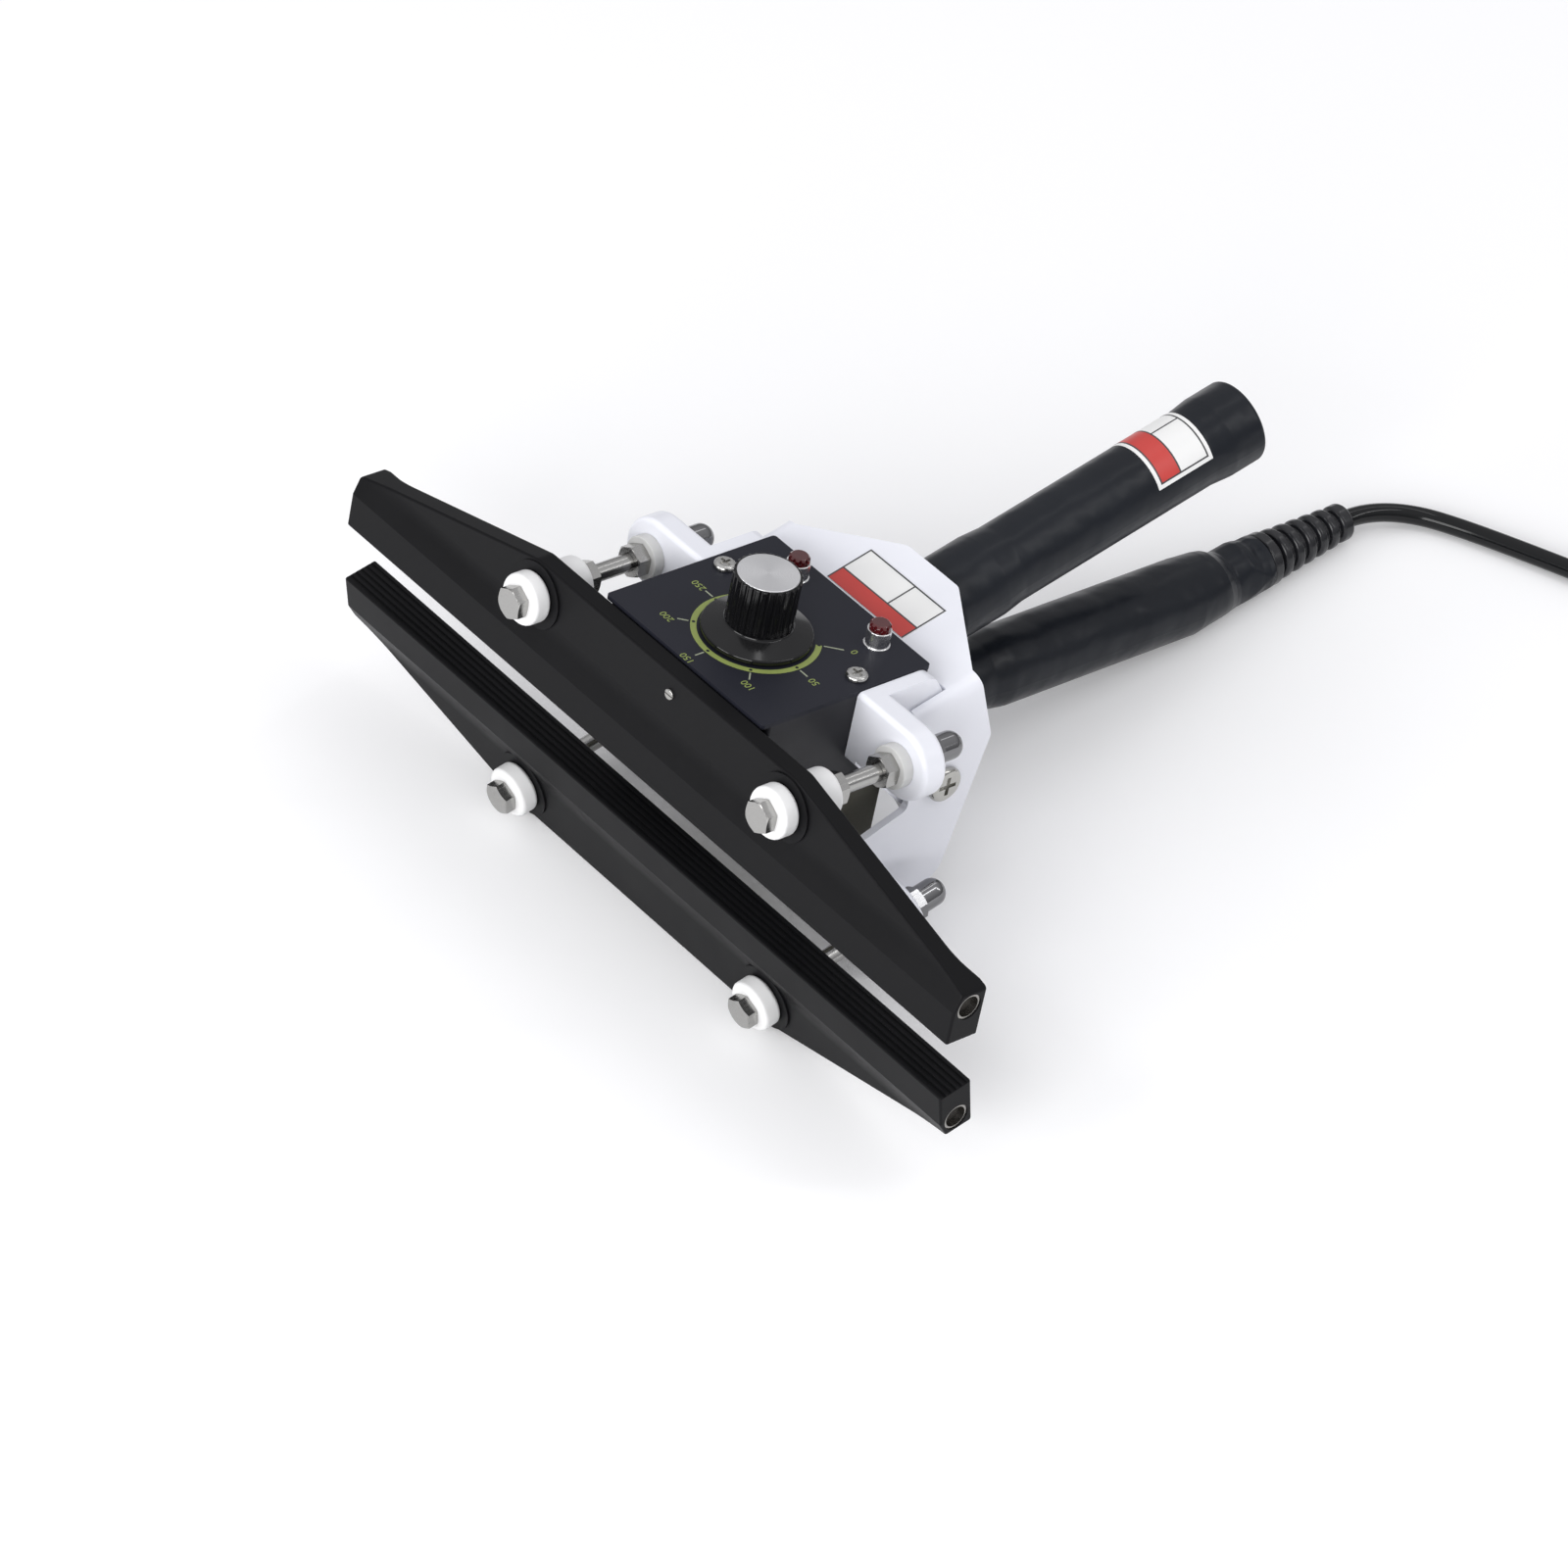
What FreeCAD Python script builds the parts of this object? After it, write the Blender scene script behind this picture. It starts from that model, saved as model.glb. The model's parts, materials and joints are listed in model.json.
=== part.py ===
import FreeCAD, Part
import math
import os

from FreeCAD import Vector

# A hand-held bag sealer built like pliers: two heated jaws on two levers that cross at a pivot.
# The control lever carries the upper jaw, the control box and the lower grip.
# The grip lever carries the lower jaw and the upper grip.
# Each lever is drawn in its own frame: pivot axis on X, jaws towards -Y, grips towards +Y,
# sealing plane at Z = 0.

# Levers and pivot
open_angle = 14.8
pivot_radius = 4.0
pivot_thread_radius = 3.0
pivot_head_radius = 6.3
pivot_head_height = 2.5
pivot_washer_radius = 7.2
pivot_washer_thickness = 2.0
pivot_nut_height = 4.5
running_clearance = 0.05
side_play = 0.15

# Jaws
jaw_length = 300.0
jaw_reach = 87.0
seal_width = 12.4
foot_height = 12.5
foot_back_height = 19.0
shoulder_rise = 8.0
web_setback = 3.0
web_thickness = 7.0
jaw_height = 41.5
jaw_end_height = 18.5
jaw_flat_length = 128.0
jaw_edge_radius = 0.8
jaw_foot_edge = 0.6
shoulder_radius = 14.0
rib_groove_count = 5
rib_groove_pitch = 2.1
rib_groove_width = 1.1
rib_groove_depth = 0.5
boss_radius = 11.5
boss_rise = 0.7

# Heaters
heater_bore_radius = 4.6
heater_height = 12.8
sheath_wall = 0.8
sheath_recess = 0.4
core_recess = 3.0
heater_lead_radius = 1.3
heater_lead_spacing = 6.0
fit_clearance = 0.05

# Sensor screw in the front of the upper jaw
sensor_x = 4.5
sensor_height = 34.4
sensor_head_radius = 1.9
sensor_head_height = 0.9
sensor_shank_radius = 1.2
sensor_depth = 4.5

# Jaw bolts and what is threaded on them
bolt_spacing = 123.0
bolt_height = 29.3
bolt_radius = 3.0
bolt_clearance = 0.1
hex_flats = 10.0
bolt_head_height = 4.0
front_bush_radius = 8.7
front_bush_length = 6.7
rear_bush_radius = 8.4
rear_bush_length = 10.5
bush_edge_radius = 1.6
nut_height = 5.0
washer_radius = 7.3
washer_thickness = 4.0
dome_nut_length = 15.8
dome_nut_hex_height = 6.0
dome_nut_radius = 4.7
dome_nut_wall = 3.0

# Ears that carry the bolts
ear_reach = 37.0
ear_thickness = 9.5
ear_radius = 12.4
ear_edge_radius = 1.8

# Control box
box_width = 77.2
box_back = 6.4
panel_rise = 0.7
panel_thickness = 1.6
panel_gap = 0.6
panel_corner_radius = 1.2
case_gap = 0.7
case_wall = 1.5
case_bottom = 6.0
case_corner_radius = 1.5
tray_front = 62.0
tray_back = 15.5
tray_bottom = -24.0
tray_wall = 1.2
tray_overlap = 3.0
tray_fit = 0.1
panel_screw_inset = 6.0
panel_screw_y = -32.5
panel_screw_radius = 1.5
panel_screw_head_radius = 3.7
panel_screw_head_height = 1.9
panel_screw_length = 8.0
screw_post_size = 9.0

# Dial knob and potentiometer
knob_y = -46.6
knob_height = 23.6
knob_float = 0.5
knob_skirt_radius = 18.2
knob_skirt_height = 1.8
knob_flare_height = 4.6
knob_grip_radius = 11.0
knob_cavity_radius = 8.6
knob_cavity_height = 5.0
knob_flute_count = 28
knob_flute_radius = 0.75
knob_cap_radius = 10.1
knob_cap_thickness = 1.2
shaft_radius = 3.0
shaft_length_in_knob = 12.0
potentiometer_radius = 8.5
potentiometer_depth = 9.5
bushing_radius = 3.6
bushing_rise = 4.0
potentiometer_nut_flats = 11.0
potentiometer_nut_height = 2.0

# Signal lamps
lamp_left_x = -17.9
lamp_right_x = 22.0
lamp_y = -15.0
lamp_flange_radius = 4.4
lamp_flange_height = 0.5
lamp_barrel_radius = 4.0
lamp_barrel_height = 6.0
lamp_stem_radius = 3.3
lamp_stem_length = 9.0
lamp_lens_radius = 3.5
lamp_lens_rise = 2.5
lamp_lens_bevel = 0.8
lamp_lens_ribs = 10
lamp_groove_radius = 0.55
lamp_seat_height = 2.5

# Electronics inside the box
board_width = 60.0
board_front = -56.0
board_back = -20.0
board_height = -10.0
board_thickness = 1.6
standoff_radius = 2.5
standoff_inset = 4.0
terminal_length = 30.0
terminal_depth = 8.0
terminal_height = 10.0
heat_sink_width = 24.0
heat_sink_depth = 10.0
heat_sink_height = 12.0
heat_sink_fins = 5
heat_sink_fin = 1.4
heat_sink_base = 2.0
triac_width = 10.0
triac_thickness = 4.5
triac_height = 9.0

# Inner yoke of the control lever
cheek_gap = 0.2
cheek_thickness = 5.2
cheek_top_back = -9.0
rear_wall_front = 6.5
rear_wall_back = 10.5
rear_wall_top = 12.0
cheek_elbow_y = -10.0
cheek_elbow_z = -9.5
socket_radius = 12.6
socket_end = 40.0
yoke_skirt = 1.9
spring_pad_rise = 3.5
spring_pad_width = 12.0
spring_y = 32.0

# Outer yoke of the grip lever
plate_thickness = 2.5
plate_top = 35.5
plate_bend_radius = 4.5
plate_front = 5.5
plate_notch_clearance = 0.6
side_front_top = -9.0
side_waist_y = -12.5
side_waist_z = 12.0
side_step_y = -14.5
side_step_z = -2.6
side_ear_top = -4.8
side_bottom = -40.0
side_bottom_back = -3.0
side_heel_y = 20.5
side_heel_z = 8.0
side_top_back = 17.0
plate_tail_width = 25.0
plate_tail_end = 38.0
web_front = 14.0
web_width = 3.0
web_bottom = 8.0
block_front = 29.0
block_width = 26.0

# Return spring
spring_wire_radius = 0.5
spring_radius = 3.4
spring_turns = 3
spring_slot_width = 10.0
spring_seat_gap = 0.3

# Handles and grips
tube_radius = 10.0
tube_wall = 1.5
lower_handle_drop = 9.4
upper_handle_rise = 18.0
lower_tube_start = 7.5
lower_tube_end = 148.0
upper_tube_start = 14.0
upper_tube_end = 164.0
lower_grip_radius = 13.4
upper_grip_radius = 13.7
grip_gap = 0.8
lower_grip_root_radius = 12.4
lower_grip_root_length = 17.0
lower_grip_straight_end = 151.0
upper_grip_overhang = 4.4
upper_grip_root_radius = 14.5
upper_grip_root_length = 19.0
upper_grip_flare_radius = 14.6
upper_grip_flare_length = 13.0
grip_blend = 8.0
grip_edge_radius = 1.5
end_plug_recess = 1.0
end_plug_length = 6.0
floor_clearance = 0.2

# Tail of the lower grip: distance beyond its straight part, and radius
lower_grip_tail = [
    (5.0, 12.8),
    (11.0, 12.2),
    (14.0, 11.7),
    (17.0, 10.7),
    (19.0, 10.3),
    (26.5, 10.4),
    (28.5, 10.2),
    (30.5, 9.8),
    (35.45, 9.7),
]

# Blank label on the outer yoke
label_width = 37.0
label_length = 18.3
label_front = 9.5
label_thickness = 0.25

# Supply cord, strain relief, coil and plug
cord_radius = 3.25
relief_plug_radius = 6.4
relief_plug_length = 8.0
relief_collar_radius = 9.5
relief_collar_length = 4.0
relief_root_radius = 8.8
relief_tip_radius = 6.6
relief_length = 39.5
relief_cap_length = 7.2
relief_cap_rounding = 1.8
relief_ribs = 5
relief_groove_depth = 1.8
relief_rib_rounding = 1.4
relief_drop = 2.4
coil_centre_x = 128.0
coil_pitch = 7.0
coil_inner_radius = 26.5
coil_layer_rise = 6.95
coil_half_turns_in = 6
coil_half_turns_out = 5
coil_height = 4.6
tie_width = 6.0
tie_thickness = 1.0
tie_gap = 0.4
tie_inner_gap = 1.2
plug_axis_height = 7.3
plug_boot_tip_radius = 4.45
plug_boot_radius = 5.6
plug_boot_length = 16.0
plug_width = 35.0
plug_thickness = 13.8
plug_neck_width = 17.0
plug_length = 30.0
plug_edge_radius = 2.5
pin_radius = 2.0
pin_length = 19.0
pin_spacing = 18.6
pin_depth = 4.0

# Route of the cord: straight on out of the strain relief, then X, Y beyond its end, and height
cord_exit_run = 16.0
cord_route = [
    (6.7, 30.7, 4.6),
    (18.9, 41.3, 3.7),
    (49.6, 50.4, 3.4),
    (76.0, 56.5, 3.8),
    (99.0, 60.0, 4.6),
    (121.5, 60.0, 4.6),
]

# Places that follow from the sizes above
jaw_front_y = -jaw_reach
foot_back_y = seal_width - jaw_reach
web_front_y = web_setback - jaw_reach
web_back_y = web_front_y + web_thickness
boss_face_y = web_front_y - boss_rise
heater_y = jaw_front_y + seal_width / 2
bolt_x = bolt_spacing / 2
ear_front_y = -ear_reach
ear_back_y = ear_front_y + ear_thickness
box_half = box_width / 2
panel_screw_x = box_half - panel_screw_inset
panel_front_y = web_back_y + panel_gap
panel_top = jaw_height + panel_rise
panel_under = panel_top - panel_thickness
case_front_y = foot_back_y + case_gap
cheek_inner = box_half + cheek_gap
cheek_outer = cheek_inner + cheek_thickness
cheek_top = bolt_height + ear_radius
plate_inner = cheek_outer + pivot_washer_thickness
plate_outer = plate_inner + plate_thickness
plate_under = plate_top - plate_thickness
yoke_bottom = -lower_handle_drop - socket_radius - yoke_skirt
block_bottom = upper_handle_rise - block_width / 2
upper_grip_end = upper_tube_end + upper_grip_overhang

# The rest pose: the lower jaw's outer edge and the tail of the lower grip stand on the floor at Z = 0
grip_low_z = -lower_handle_drop - lower_grip_radius
open_rad = math.radians(open_angle)
lift = lower_grip_straight_end * math.sin(open_rad) - grip_low_z * math.cos(open_rad) - jaw_height
base = lower_grip_straight_end * math.cos(open_rad) + grip_low_z * math.sin(open_rad) - web_front_y
grip_lever_tilt = math.degrees(math.atan2(lift, base))
control_lever_tilt = grip_lever_tilt - open_angle
tilt_rad = math.radians(grip_lever_tilt)
pivot_height = jaw_height * math.cos(tilt_rad) - web_front_y * math.sin(tilt_rad)


def along_x(p):
    return Vector(0, p.x, p.y)


def along_y(p):
    return Vector(p.x, 0, p.y)


def along_z(p):
    return Vector(p.x, p.y, 0)


def outline(points, place):
    """Closed wire through (u, v, corner radius) points, laid in space by place."""
    corners = []
    count = len(points)
    for i in range(count):
        corner = Vector(points[i][0], points[i][1], 0)
        radius = points[i][2]
        before = Vector(points[i - 1][0], points[i - 1][1], 0)
        after = Vector(points[(i + 1) % count][0], points[(i + 1) % count][1], 0)
        back = (before - corner).normalize()
        ahead = (after - corner).normalize()
        if radius == 0:
            corners.append((corner, None, corner))
            continue
        half = back.getAngle(ahead) / 2
        reach = radius / math.tan(half)
        middle = corner + (back + ahead).normalize() * (radius / math.sin(half) - radius)
        corners.append((corner + back * reach, middle, corner + ahead * reach))
    edges = []
    for i in range(count):
        start, middle, end = corners[i]
        following = corners[(i + 1) % count][0]
        if middle is not None:
            edges.append(Part.Arc(place(start), place(middle), place(end)).toShape())
        if end.distanceToPoint(following) > 1e-6:
            edges.append(Part.LineSegment(place(end), place(following)).toShape())
    return Part.Wire(edges)


def prism(points, place, start, end):
    """Solid of an outline, pushed along the axis that place leaves free."""
    axis = {along_x: Vector(1, 0, 0), along_y: Vector(0, 1, 0), along_z: Vector(0, 0, 1)}[place]
    face = Part.Face(outline(points, place))
    face.translate(axis * start)
    return face.extrude(axis * (end - start))


def square(u0, u1, v0, v1, radius=0):
    """Corner points of a rectangle with one corner radius."""
    return [(u0, v0, radius), (u1, v0, radius), (u1, v1, radius), (u0, v1, radius)]


def box(x0, x1, y0, y1, z0, z1):
    return Part.makeBox(x1 - x0, y1 - y0, z1 - z0, Vector(x0, y0, z0))


def rod_x(y, z, radius, x0, x1):
    return Part.makeCylinder(radius, x1 - x0, Vector(x0, y, z), Vector(1, 0, 0))


def rod_y(x, z, radius, y0, y1):
    return Part.makeCylinder(radius, y1 - y0, Vector(x, y0, z), Vector(0, 1, 0))


def rod_z(x, y, radius, z0, z1):
    return Part.makeCylinder(radius, z1 - z0, Vector(x, y, z0), Vector(0, 0, 1))


def turned_y(x, z, points):
    """Turned solid about a line along Y; points are (radius, y, corner radius)."""
    wire = outline(points, lambda p: Vector(x + p.x, p.y, z))
    return Part.Face(wire).revolve(Vector(x, 0, z), Vector(0, 1, 0), 360)


def turned_z(x, y, points):
    """Turned solid about a line along Z; points are (radius, z, corner radius)."""
    wire = outline(points, lambda p: Vector(x + p.x, y, p.y))
    return Part.Face(wire).revolve(Vector(x, y, 0), Vector(0, 0, 1), 360)


def hexagon_y(x, z, flats, y0, y1):
    """Hexagonal bar along Y with its corners turned down at both ends."""
    corner_radius = flats / math.sqrt(3)
    chamfer = (corner_radius - flats / 2) / 2
    points = []
    for i in range(6):
        angle = math.radians(60 * i + 30)
        points.append((x + corner_radius * math.cos(angle), z + corner_radius * math.sin(angle), 0))
    bar = prism(points, along_y, y0, y1)
    limit = turned_y(
        x,
        z,
        [
            (0, y0, 0),
            (flats / 2, y0, 0),
            (corner_radius, y0 + chamfer, 0),
            (corner_radius, y1 - chamfer, 0),
            (flats / 2, y1, 0),
            (0, y1, 0),
        ],
    )
    return bar.common(limit)


def both_sides(shape):
    """The shape and its mirror image across the middle plane X = 0."""
    return [shape, shape.mirror(Vector(0, 0, 0), Vector(1, 0, 0))]


def below(shape):
    """Mirror image across the sealing plane Z = 0."""
    return shape.mirror(Vector(0, 0, 0), Vector(0, 0, 1))


def joined(shapes):
    whole = shapes[0]
    for shape in shapes[1:]:
        whole = whole.fuse(shape)
    return whole.removeSplitter()


def rounded(shape, radius, chosen):
    """The shape with the chosen edges rounded."""
    return shape.makeFillet(radius, [edge for edge in shape.Edges if chosen(edge)])


def jaw_bar():
    """Aluminium jaw, drawn as the upper one: ribbed foot, hollow shoulder, web that tapers to the ends."""
    half = jaw_length / 2
    back_step = foot_back_y - web_back_y
    profile = [
        (jaw_front_y, 0, jaw_foot_edge),
        (jaw_front_y, foot_height, jaw_foot_edge),
        (web_front_y, foot_height + shoulder_rise, shoulder_radius),
        (web_front_y, jaw_height, 0),
        (web_back_y, jaw_height, 0),
        (web_back_y, foot_back_height + back_step, 3.0),
        (foot_back_y, foot_back_height, 1.0),
        (foot_back_y, 0, jaw_foot_edge),
    ]
    taper = [
        (-half, -1, 0),
        (half, -1, 0),
        (half, jaw_end_height, 2 * jaw_edge_radius),
        (jaw_flat_length / 2, jaw_height, 8 * jaw_edge_radius),
        (-jaw_flat_length / 2, jaw_height, 8 * jaw_edge_radius),
        (-half, jaw_end_height, 2 * jaw_edge_radius),
    ]
    bar = prism(profile, along_x, -half, half).common(prism(taper, along_y, 2 * jaw_front_y, 0))

    def on_top(edge):
        bounds = edge.BoundBox
        lengthwise = bounds.XLength > 1e-3
        sloping = bounds.ZLength > 1e-3 and bounds.ZMin > jaw_end_height - 3 * jaw_edge_radius
        level = bounds.ZLength < 1e-4 and bounds.ZMin > jaw_height - 1e-3
        return lengthwise and (sloping or level)

    bar = rounded(bar, jaw_edge_radius, on_top)
    for x in (-bolt_x, bolt_x):
        bar = bar.fuse(rod_y(x, bolt_height, boss_radius, boss_face_y, web_back_y))
    bar = bar.removeSplitter()
    for x in (-bolt_x, bolt_x):
        bar = bar.cut(rod_y(x, bolt_height, bolt_radius + bolt_clearance, boss_face_y - 1, web_back_y + 1))
    first = heater_y - (rib_groove_count - 1) * rib_groove_pitch / 2
    for i in range(rib_groove_count):
        y = first + i * rib_groove_pitch
        side = rib_groove_width / 2
        groove = box(-half - 1, half + 1, y - side, y + side, -1, rib_groove_depth)
        bar = bar.cut(groove)
    return bar.cut(rod_x(heater_y, heater_height, heater_bore_radius, -half - 1, half + 1))


def heater_sheath():
    outer = heater_bore_radius - fit_clearance
    reach = jaw_length / 2 - sheath_recess
    tube = rod_x(heater_y, heater_height, outer, -reach, reach)
    return tube.cut(rod_x(heater_y, heater_height, outer - sheath_wall, -reach - 1, reach + 1))


def heater_core():
    radius = heater_bore_radius - 2 * fit_clearance - sheath_wall
    reach = jaw_length / 2 - core_recess
    return rod_x(heater_y, heater_height, radius, -reach, reach)


def heater_leads():
    """Two insulated leads from the upper heater through the jaw's back into the control case."""
    leads = []
    for side in (-1, 1):
        x = side * heater_lead_spacing / 2
        leads.append(rod_y(x, heater_height, heater_lead_radius, heater_y, case_front_y + 2 * case_wall))
    return leads


def lead_holes(extra):
    holes = []
    for side in (-1, 1):
        x = side * heater_lead_spacing / 2
        end = case_front_y + 3 * case_wall
        holes.append(rod_y(x, heater_height, heater_lead_radius + extra, heater_y, end))
    return holes


def without(shape, cutters):
    for cutter in cutters:
        shape = shape.cut(cutter)
    return shape


def sensor_hole():
    radius = sensor_shank_radius + fit_clearance
    return rod_y(sensor_x, sensor_height, radius, web_front_y - 1, web_front_y + sensor_depth)


def sensor_screw():
    face = web_front_y
    head = turned_y(
        sensor_x,
        sensor_height,
        [
            (0, face - sensor_head_height, 0),
            (sensor_head_radius, face - sensor_head_height, sensor_head_height / 2),
            (sensor_head_radius, face, 0),
            (0, face, 0),
        ],
    )
    shank = rod_y(sensor_x, sensor_height, sensor_shank_radius, face, face + sensor_depth)
    slot = box(
        sensor_x - sensor_head_radius,
        sensor_x + sensor_head_radius,
        face - 2 * sensor_head_height,
        face - sensor_head_height / 2,
        sensor_height - sensor_head_height / 4,
        sensor_height + sensor_head_height / 4,
    )
    return head.fuse(shank).removeSplitter().cut(slot)


def bush(radius, y0, y1):
    """Round insulating bush on a jaw bolt, with softly rounded rims."""
    hole = bolt_radius + bolt_clearance
    ring = [
        (hole, y0, 0),
        (radius, y0, bush_edge_radius),
        (radius, y1, bush_edge_radius),
        (hole, y1, 0),
    ]
    return turned_y(bolt_x, bolt_height, ring)


def nut(y0, y1):
    hole = rod_y(bolt_x, bolt_height, bolt_radius + bolt_clearance, y0 - 1, y1 + 1)
    return hexagon_y(bolt_x, bolt_height, hex_flats, y0, y1).cut(hole)


def jaw_fasteners():
    """Everything on the two jaw bolts, from the head in front to the dome nut behind the ear."""
    bush_front = boss_face_y - front_bush_length
    head_front = bush_front - bolt_head_height
    bush_back = web_back_y + rear_bush_length
    washer_front = ear_front_y - washer_thickness
    dome_end = ear_back_y + dome_nut_length
    shank_end = dome_end - dome_nut_wall
    hole = bolt_radius + bolt_clearance

    head = hexagon_y(bolt_x, bolt_height, hex_flats, head_front, bush_front)
    bolt = head.fuse(rod_y(bolt_x, bolt_height, bolt_radius, bush_front, shank_end)).removeSplitter()
    dome = turned_y(
        bolt_x,
        bolt_height,
        [
            (0, ear_back_y, 0),
            (dome_nut_radius, ear_back_y, 0),
            (dome_nut_radius, dome_end, 0.9 * dome_nut_radius),
            (0, dome_end, 0),
        ],
    )
    collar = hexagon_y(bolt_x, bolt_height, hex_flats, ear_back_y, ear_back_y + dome_nut_hex_height)
    blind = rod_y(bolt_x, bolt_height, hole, ear_back_y - 1, shank_end + bolt_clearance)
    washer = turned_y(
        bolt_x,
        bolt_height,
        [
            (hole, washer_front, 0),
            (washer_radius, washer_front, bush_edge_radius / 4),
            (washer_radius, ear_front_y, bush_edge_radius / 4),
            (hole, ear_front_y, 0),
        ],
    )
    pieces = {
        "jaw_bolts": bolt,
        "front_bushes": bush(front_bush_radius, bush_front, boss_face_y),
        "rear_bushes": bush(rear_bush_radius, web_back_y, bush_back),
        "jaw_nuts": nut(bush_back, bush_back + nut_height),
        "ear_nuts": nut(washer_front - nut_height, washer_front),
        "ear_washers": washer,
        "dome_nuts": collar.fuse(dome).removeSplitter().cut(blind),
    }
    return {name: both_sides(shape) for name, shape in pieces.items()}


def ear(inner):
    """Thick round-ended lug on a lever's side that holds a jaw bolt, drawn at the upper right."""
    z0 = bolt_height - ear_radius
    z1 = bolt_height + ear_radius
    lug = joined(
        [
            box(inner, bolt_x, ear_front_y, ear_back_y, z0, z1),
            rod_y(bolt_x, bolt_height, ear_radius, ear_front_y, ear_back_y),
        ]
    )

    def on_rim(edge):
        bounds = edge.BoundBox
        return bounds.YLength < 1e-4 and bounds.XMax > inner + 1

    lug = rounded(lug, ear_edge_radius, on_rim)
    return lug.cut(rod_y(bolt_x, bolt_height, bolt_radius + bolt_clearance, ear_front_y - 1, ear_back_y + 1))


def inner_yoke():
    """White casting: two cheeks beside the box, ears in front, rear wall and socket of the lower handle."""
    cheek = prism(
        [
            (ear_front_y, cheek_top, ear_edge_radius),
            (cheek_top_back, cheek_top, 5.0),
            (rear_wall_back, rear_wall_top, 6.0),
            (rear_wall_back, yoke_bottom, 3.0),
            (0, yoke_bottom, 5.0),
            (cheek_elbow_y, cheek_elbow_z, 8.0),
            (ear_front_y, bolt_height - ear_radius, ear_edge_radius),
        ],
        along_x,
        cheek_inner,
        cheek_outer,
    )
    side = joined([cheek, ear(cheek_outer)])
    side = side.cut(rod_x(0, 0, pivot_thread_radius + fit_clearance, cheek_inner - 1, cheek_outer + 1))
    wall = prism(
        square(-cheek_inner, cheek_inner, yoke_bottom, rear_wall_top),
        along_y,
        rear_wall_front,
        rear_wall_back,
    )
    socket = rod_y(0, -lower_handle_drop, socket_radius, rear_wall_back, socket_end)
    pad = box(
        -spring_pad_width / 2,
        spring_pad_width / 2,
        spring_y - spring_pad_width / 2,
        spring_y + spring_pad_width / 2,
        -lower_handle_drop,
        spring_pad_rise,
    )
    yoke = joined(both_sides(side) + [wall, socket, pad])
    bore = rod_y(0, -lower_handle_drop, tube_radius + fit_clearance, lower_tube_start, socket_end + 1)
    return yoke.cut(bore)


def outer_yoke():
    """White folded channel: top plate with a tail, two side plates, ears for the lower jaw, handle socket."""
    deep = 2 * jaw_reach
    channel = prism(
        [
            (-plate_outer, side_bottom - 5, 0),
            (-plate_outer, plate_top, plate_bend_radius),
            (plate_outer, plate_top, plate_bend_radius),
            (plate_outer, side_bottom - 5, 0),
            (plate_inner, side_bottom - 5, 0),
            (plate_inner, plate_under, plate_bend_radius - plate_thickness),
            (-plate_inner, plate_under, plate_bend_radius - plate_thickness),
            (-plate_inner, side_bottom - 5, 0),
        ],
        along_y,
        -deep,
        deep,
    )
    side = prism(
        [
            (side_front_top, plate_top + 1, 0),
            (side_front_top, plate_top - 6, 0),
            (side_waist_y, side_waist_z, 10.0),
            (side_step_y, side_step_z, 3.0),
            (ear_front_y, side_ear_top, 4.0),
            (ear_front_y, side_bottom, 3.0),
            (side_bottom_back, side_bottom, 8.0),
            (side_heel_y, side_heel_z, 4.0),
            (side_top_back, plate_top + 1, 0),
        ],
        along_x,
        -deep,
        deep,
    )
    notch_half = cheek_outer + plate_notch_clearance
    notch = box(-notch_half, notch_half, -deep, plate_front, plate_under - 3, plate_top + 1)
    tail = prism(
        [
            (-plate_outer + plate_bend_radius, web_front, 0),
            (plate_outer - plate_bend_radius, web_front, 0),
            (plate_outer - plate_bend_radius, side_top_back, 0),
            (plate_tail_width / 2, plate_tail_end, 4.0),
            (-plate_tail_width / 2, plate_tail_end, 4.0),
            (-plate_outer + plate_bend_radius, side_top_back, 0),
        ],
        along_z,
        plate_under,
        plate_top,
    )
    cross_web = box(-plate_inner, plate_inner, web_front, web_front + web_width, web_bottom, plate_under)
    block = prism(
        square(-block_width / 2, block_width / 2, block_bottom, plate_under + 0.1),
        along_y,
        block_front,
        plate_tail_end - 1,
    )
    ears = both_sides(below(ear(plate_inner)))
    yoke = joined([channel.common(side).cut(notch), tail, cross_web, block] + ears)
    for hole in both_sides(rod_x(0, 0, pivot_radius + running_clearance, plate_inner - 1, plate_outer + 1)):
        yoke = yoke.cut(hole)
    bore = rod_y(0, upper_handle_rise, tube_radius + fit_clearance, upper_tube_start - 1, plate_tail_end + 1)
    slot = box(
        -spring_slot_width / 2,
        spring_slot_width / 2,
        block_front - 1,
        plate_tail_end + 1,
        block_bottom - 1,
        upper_handle_rise,
    )
    return yoke.cut(bore).cut(slot)


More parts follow.
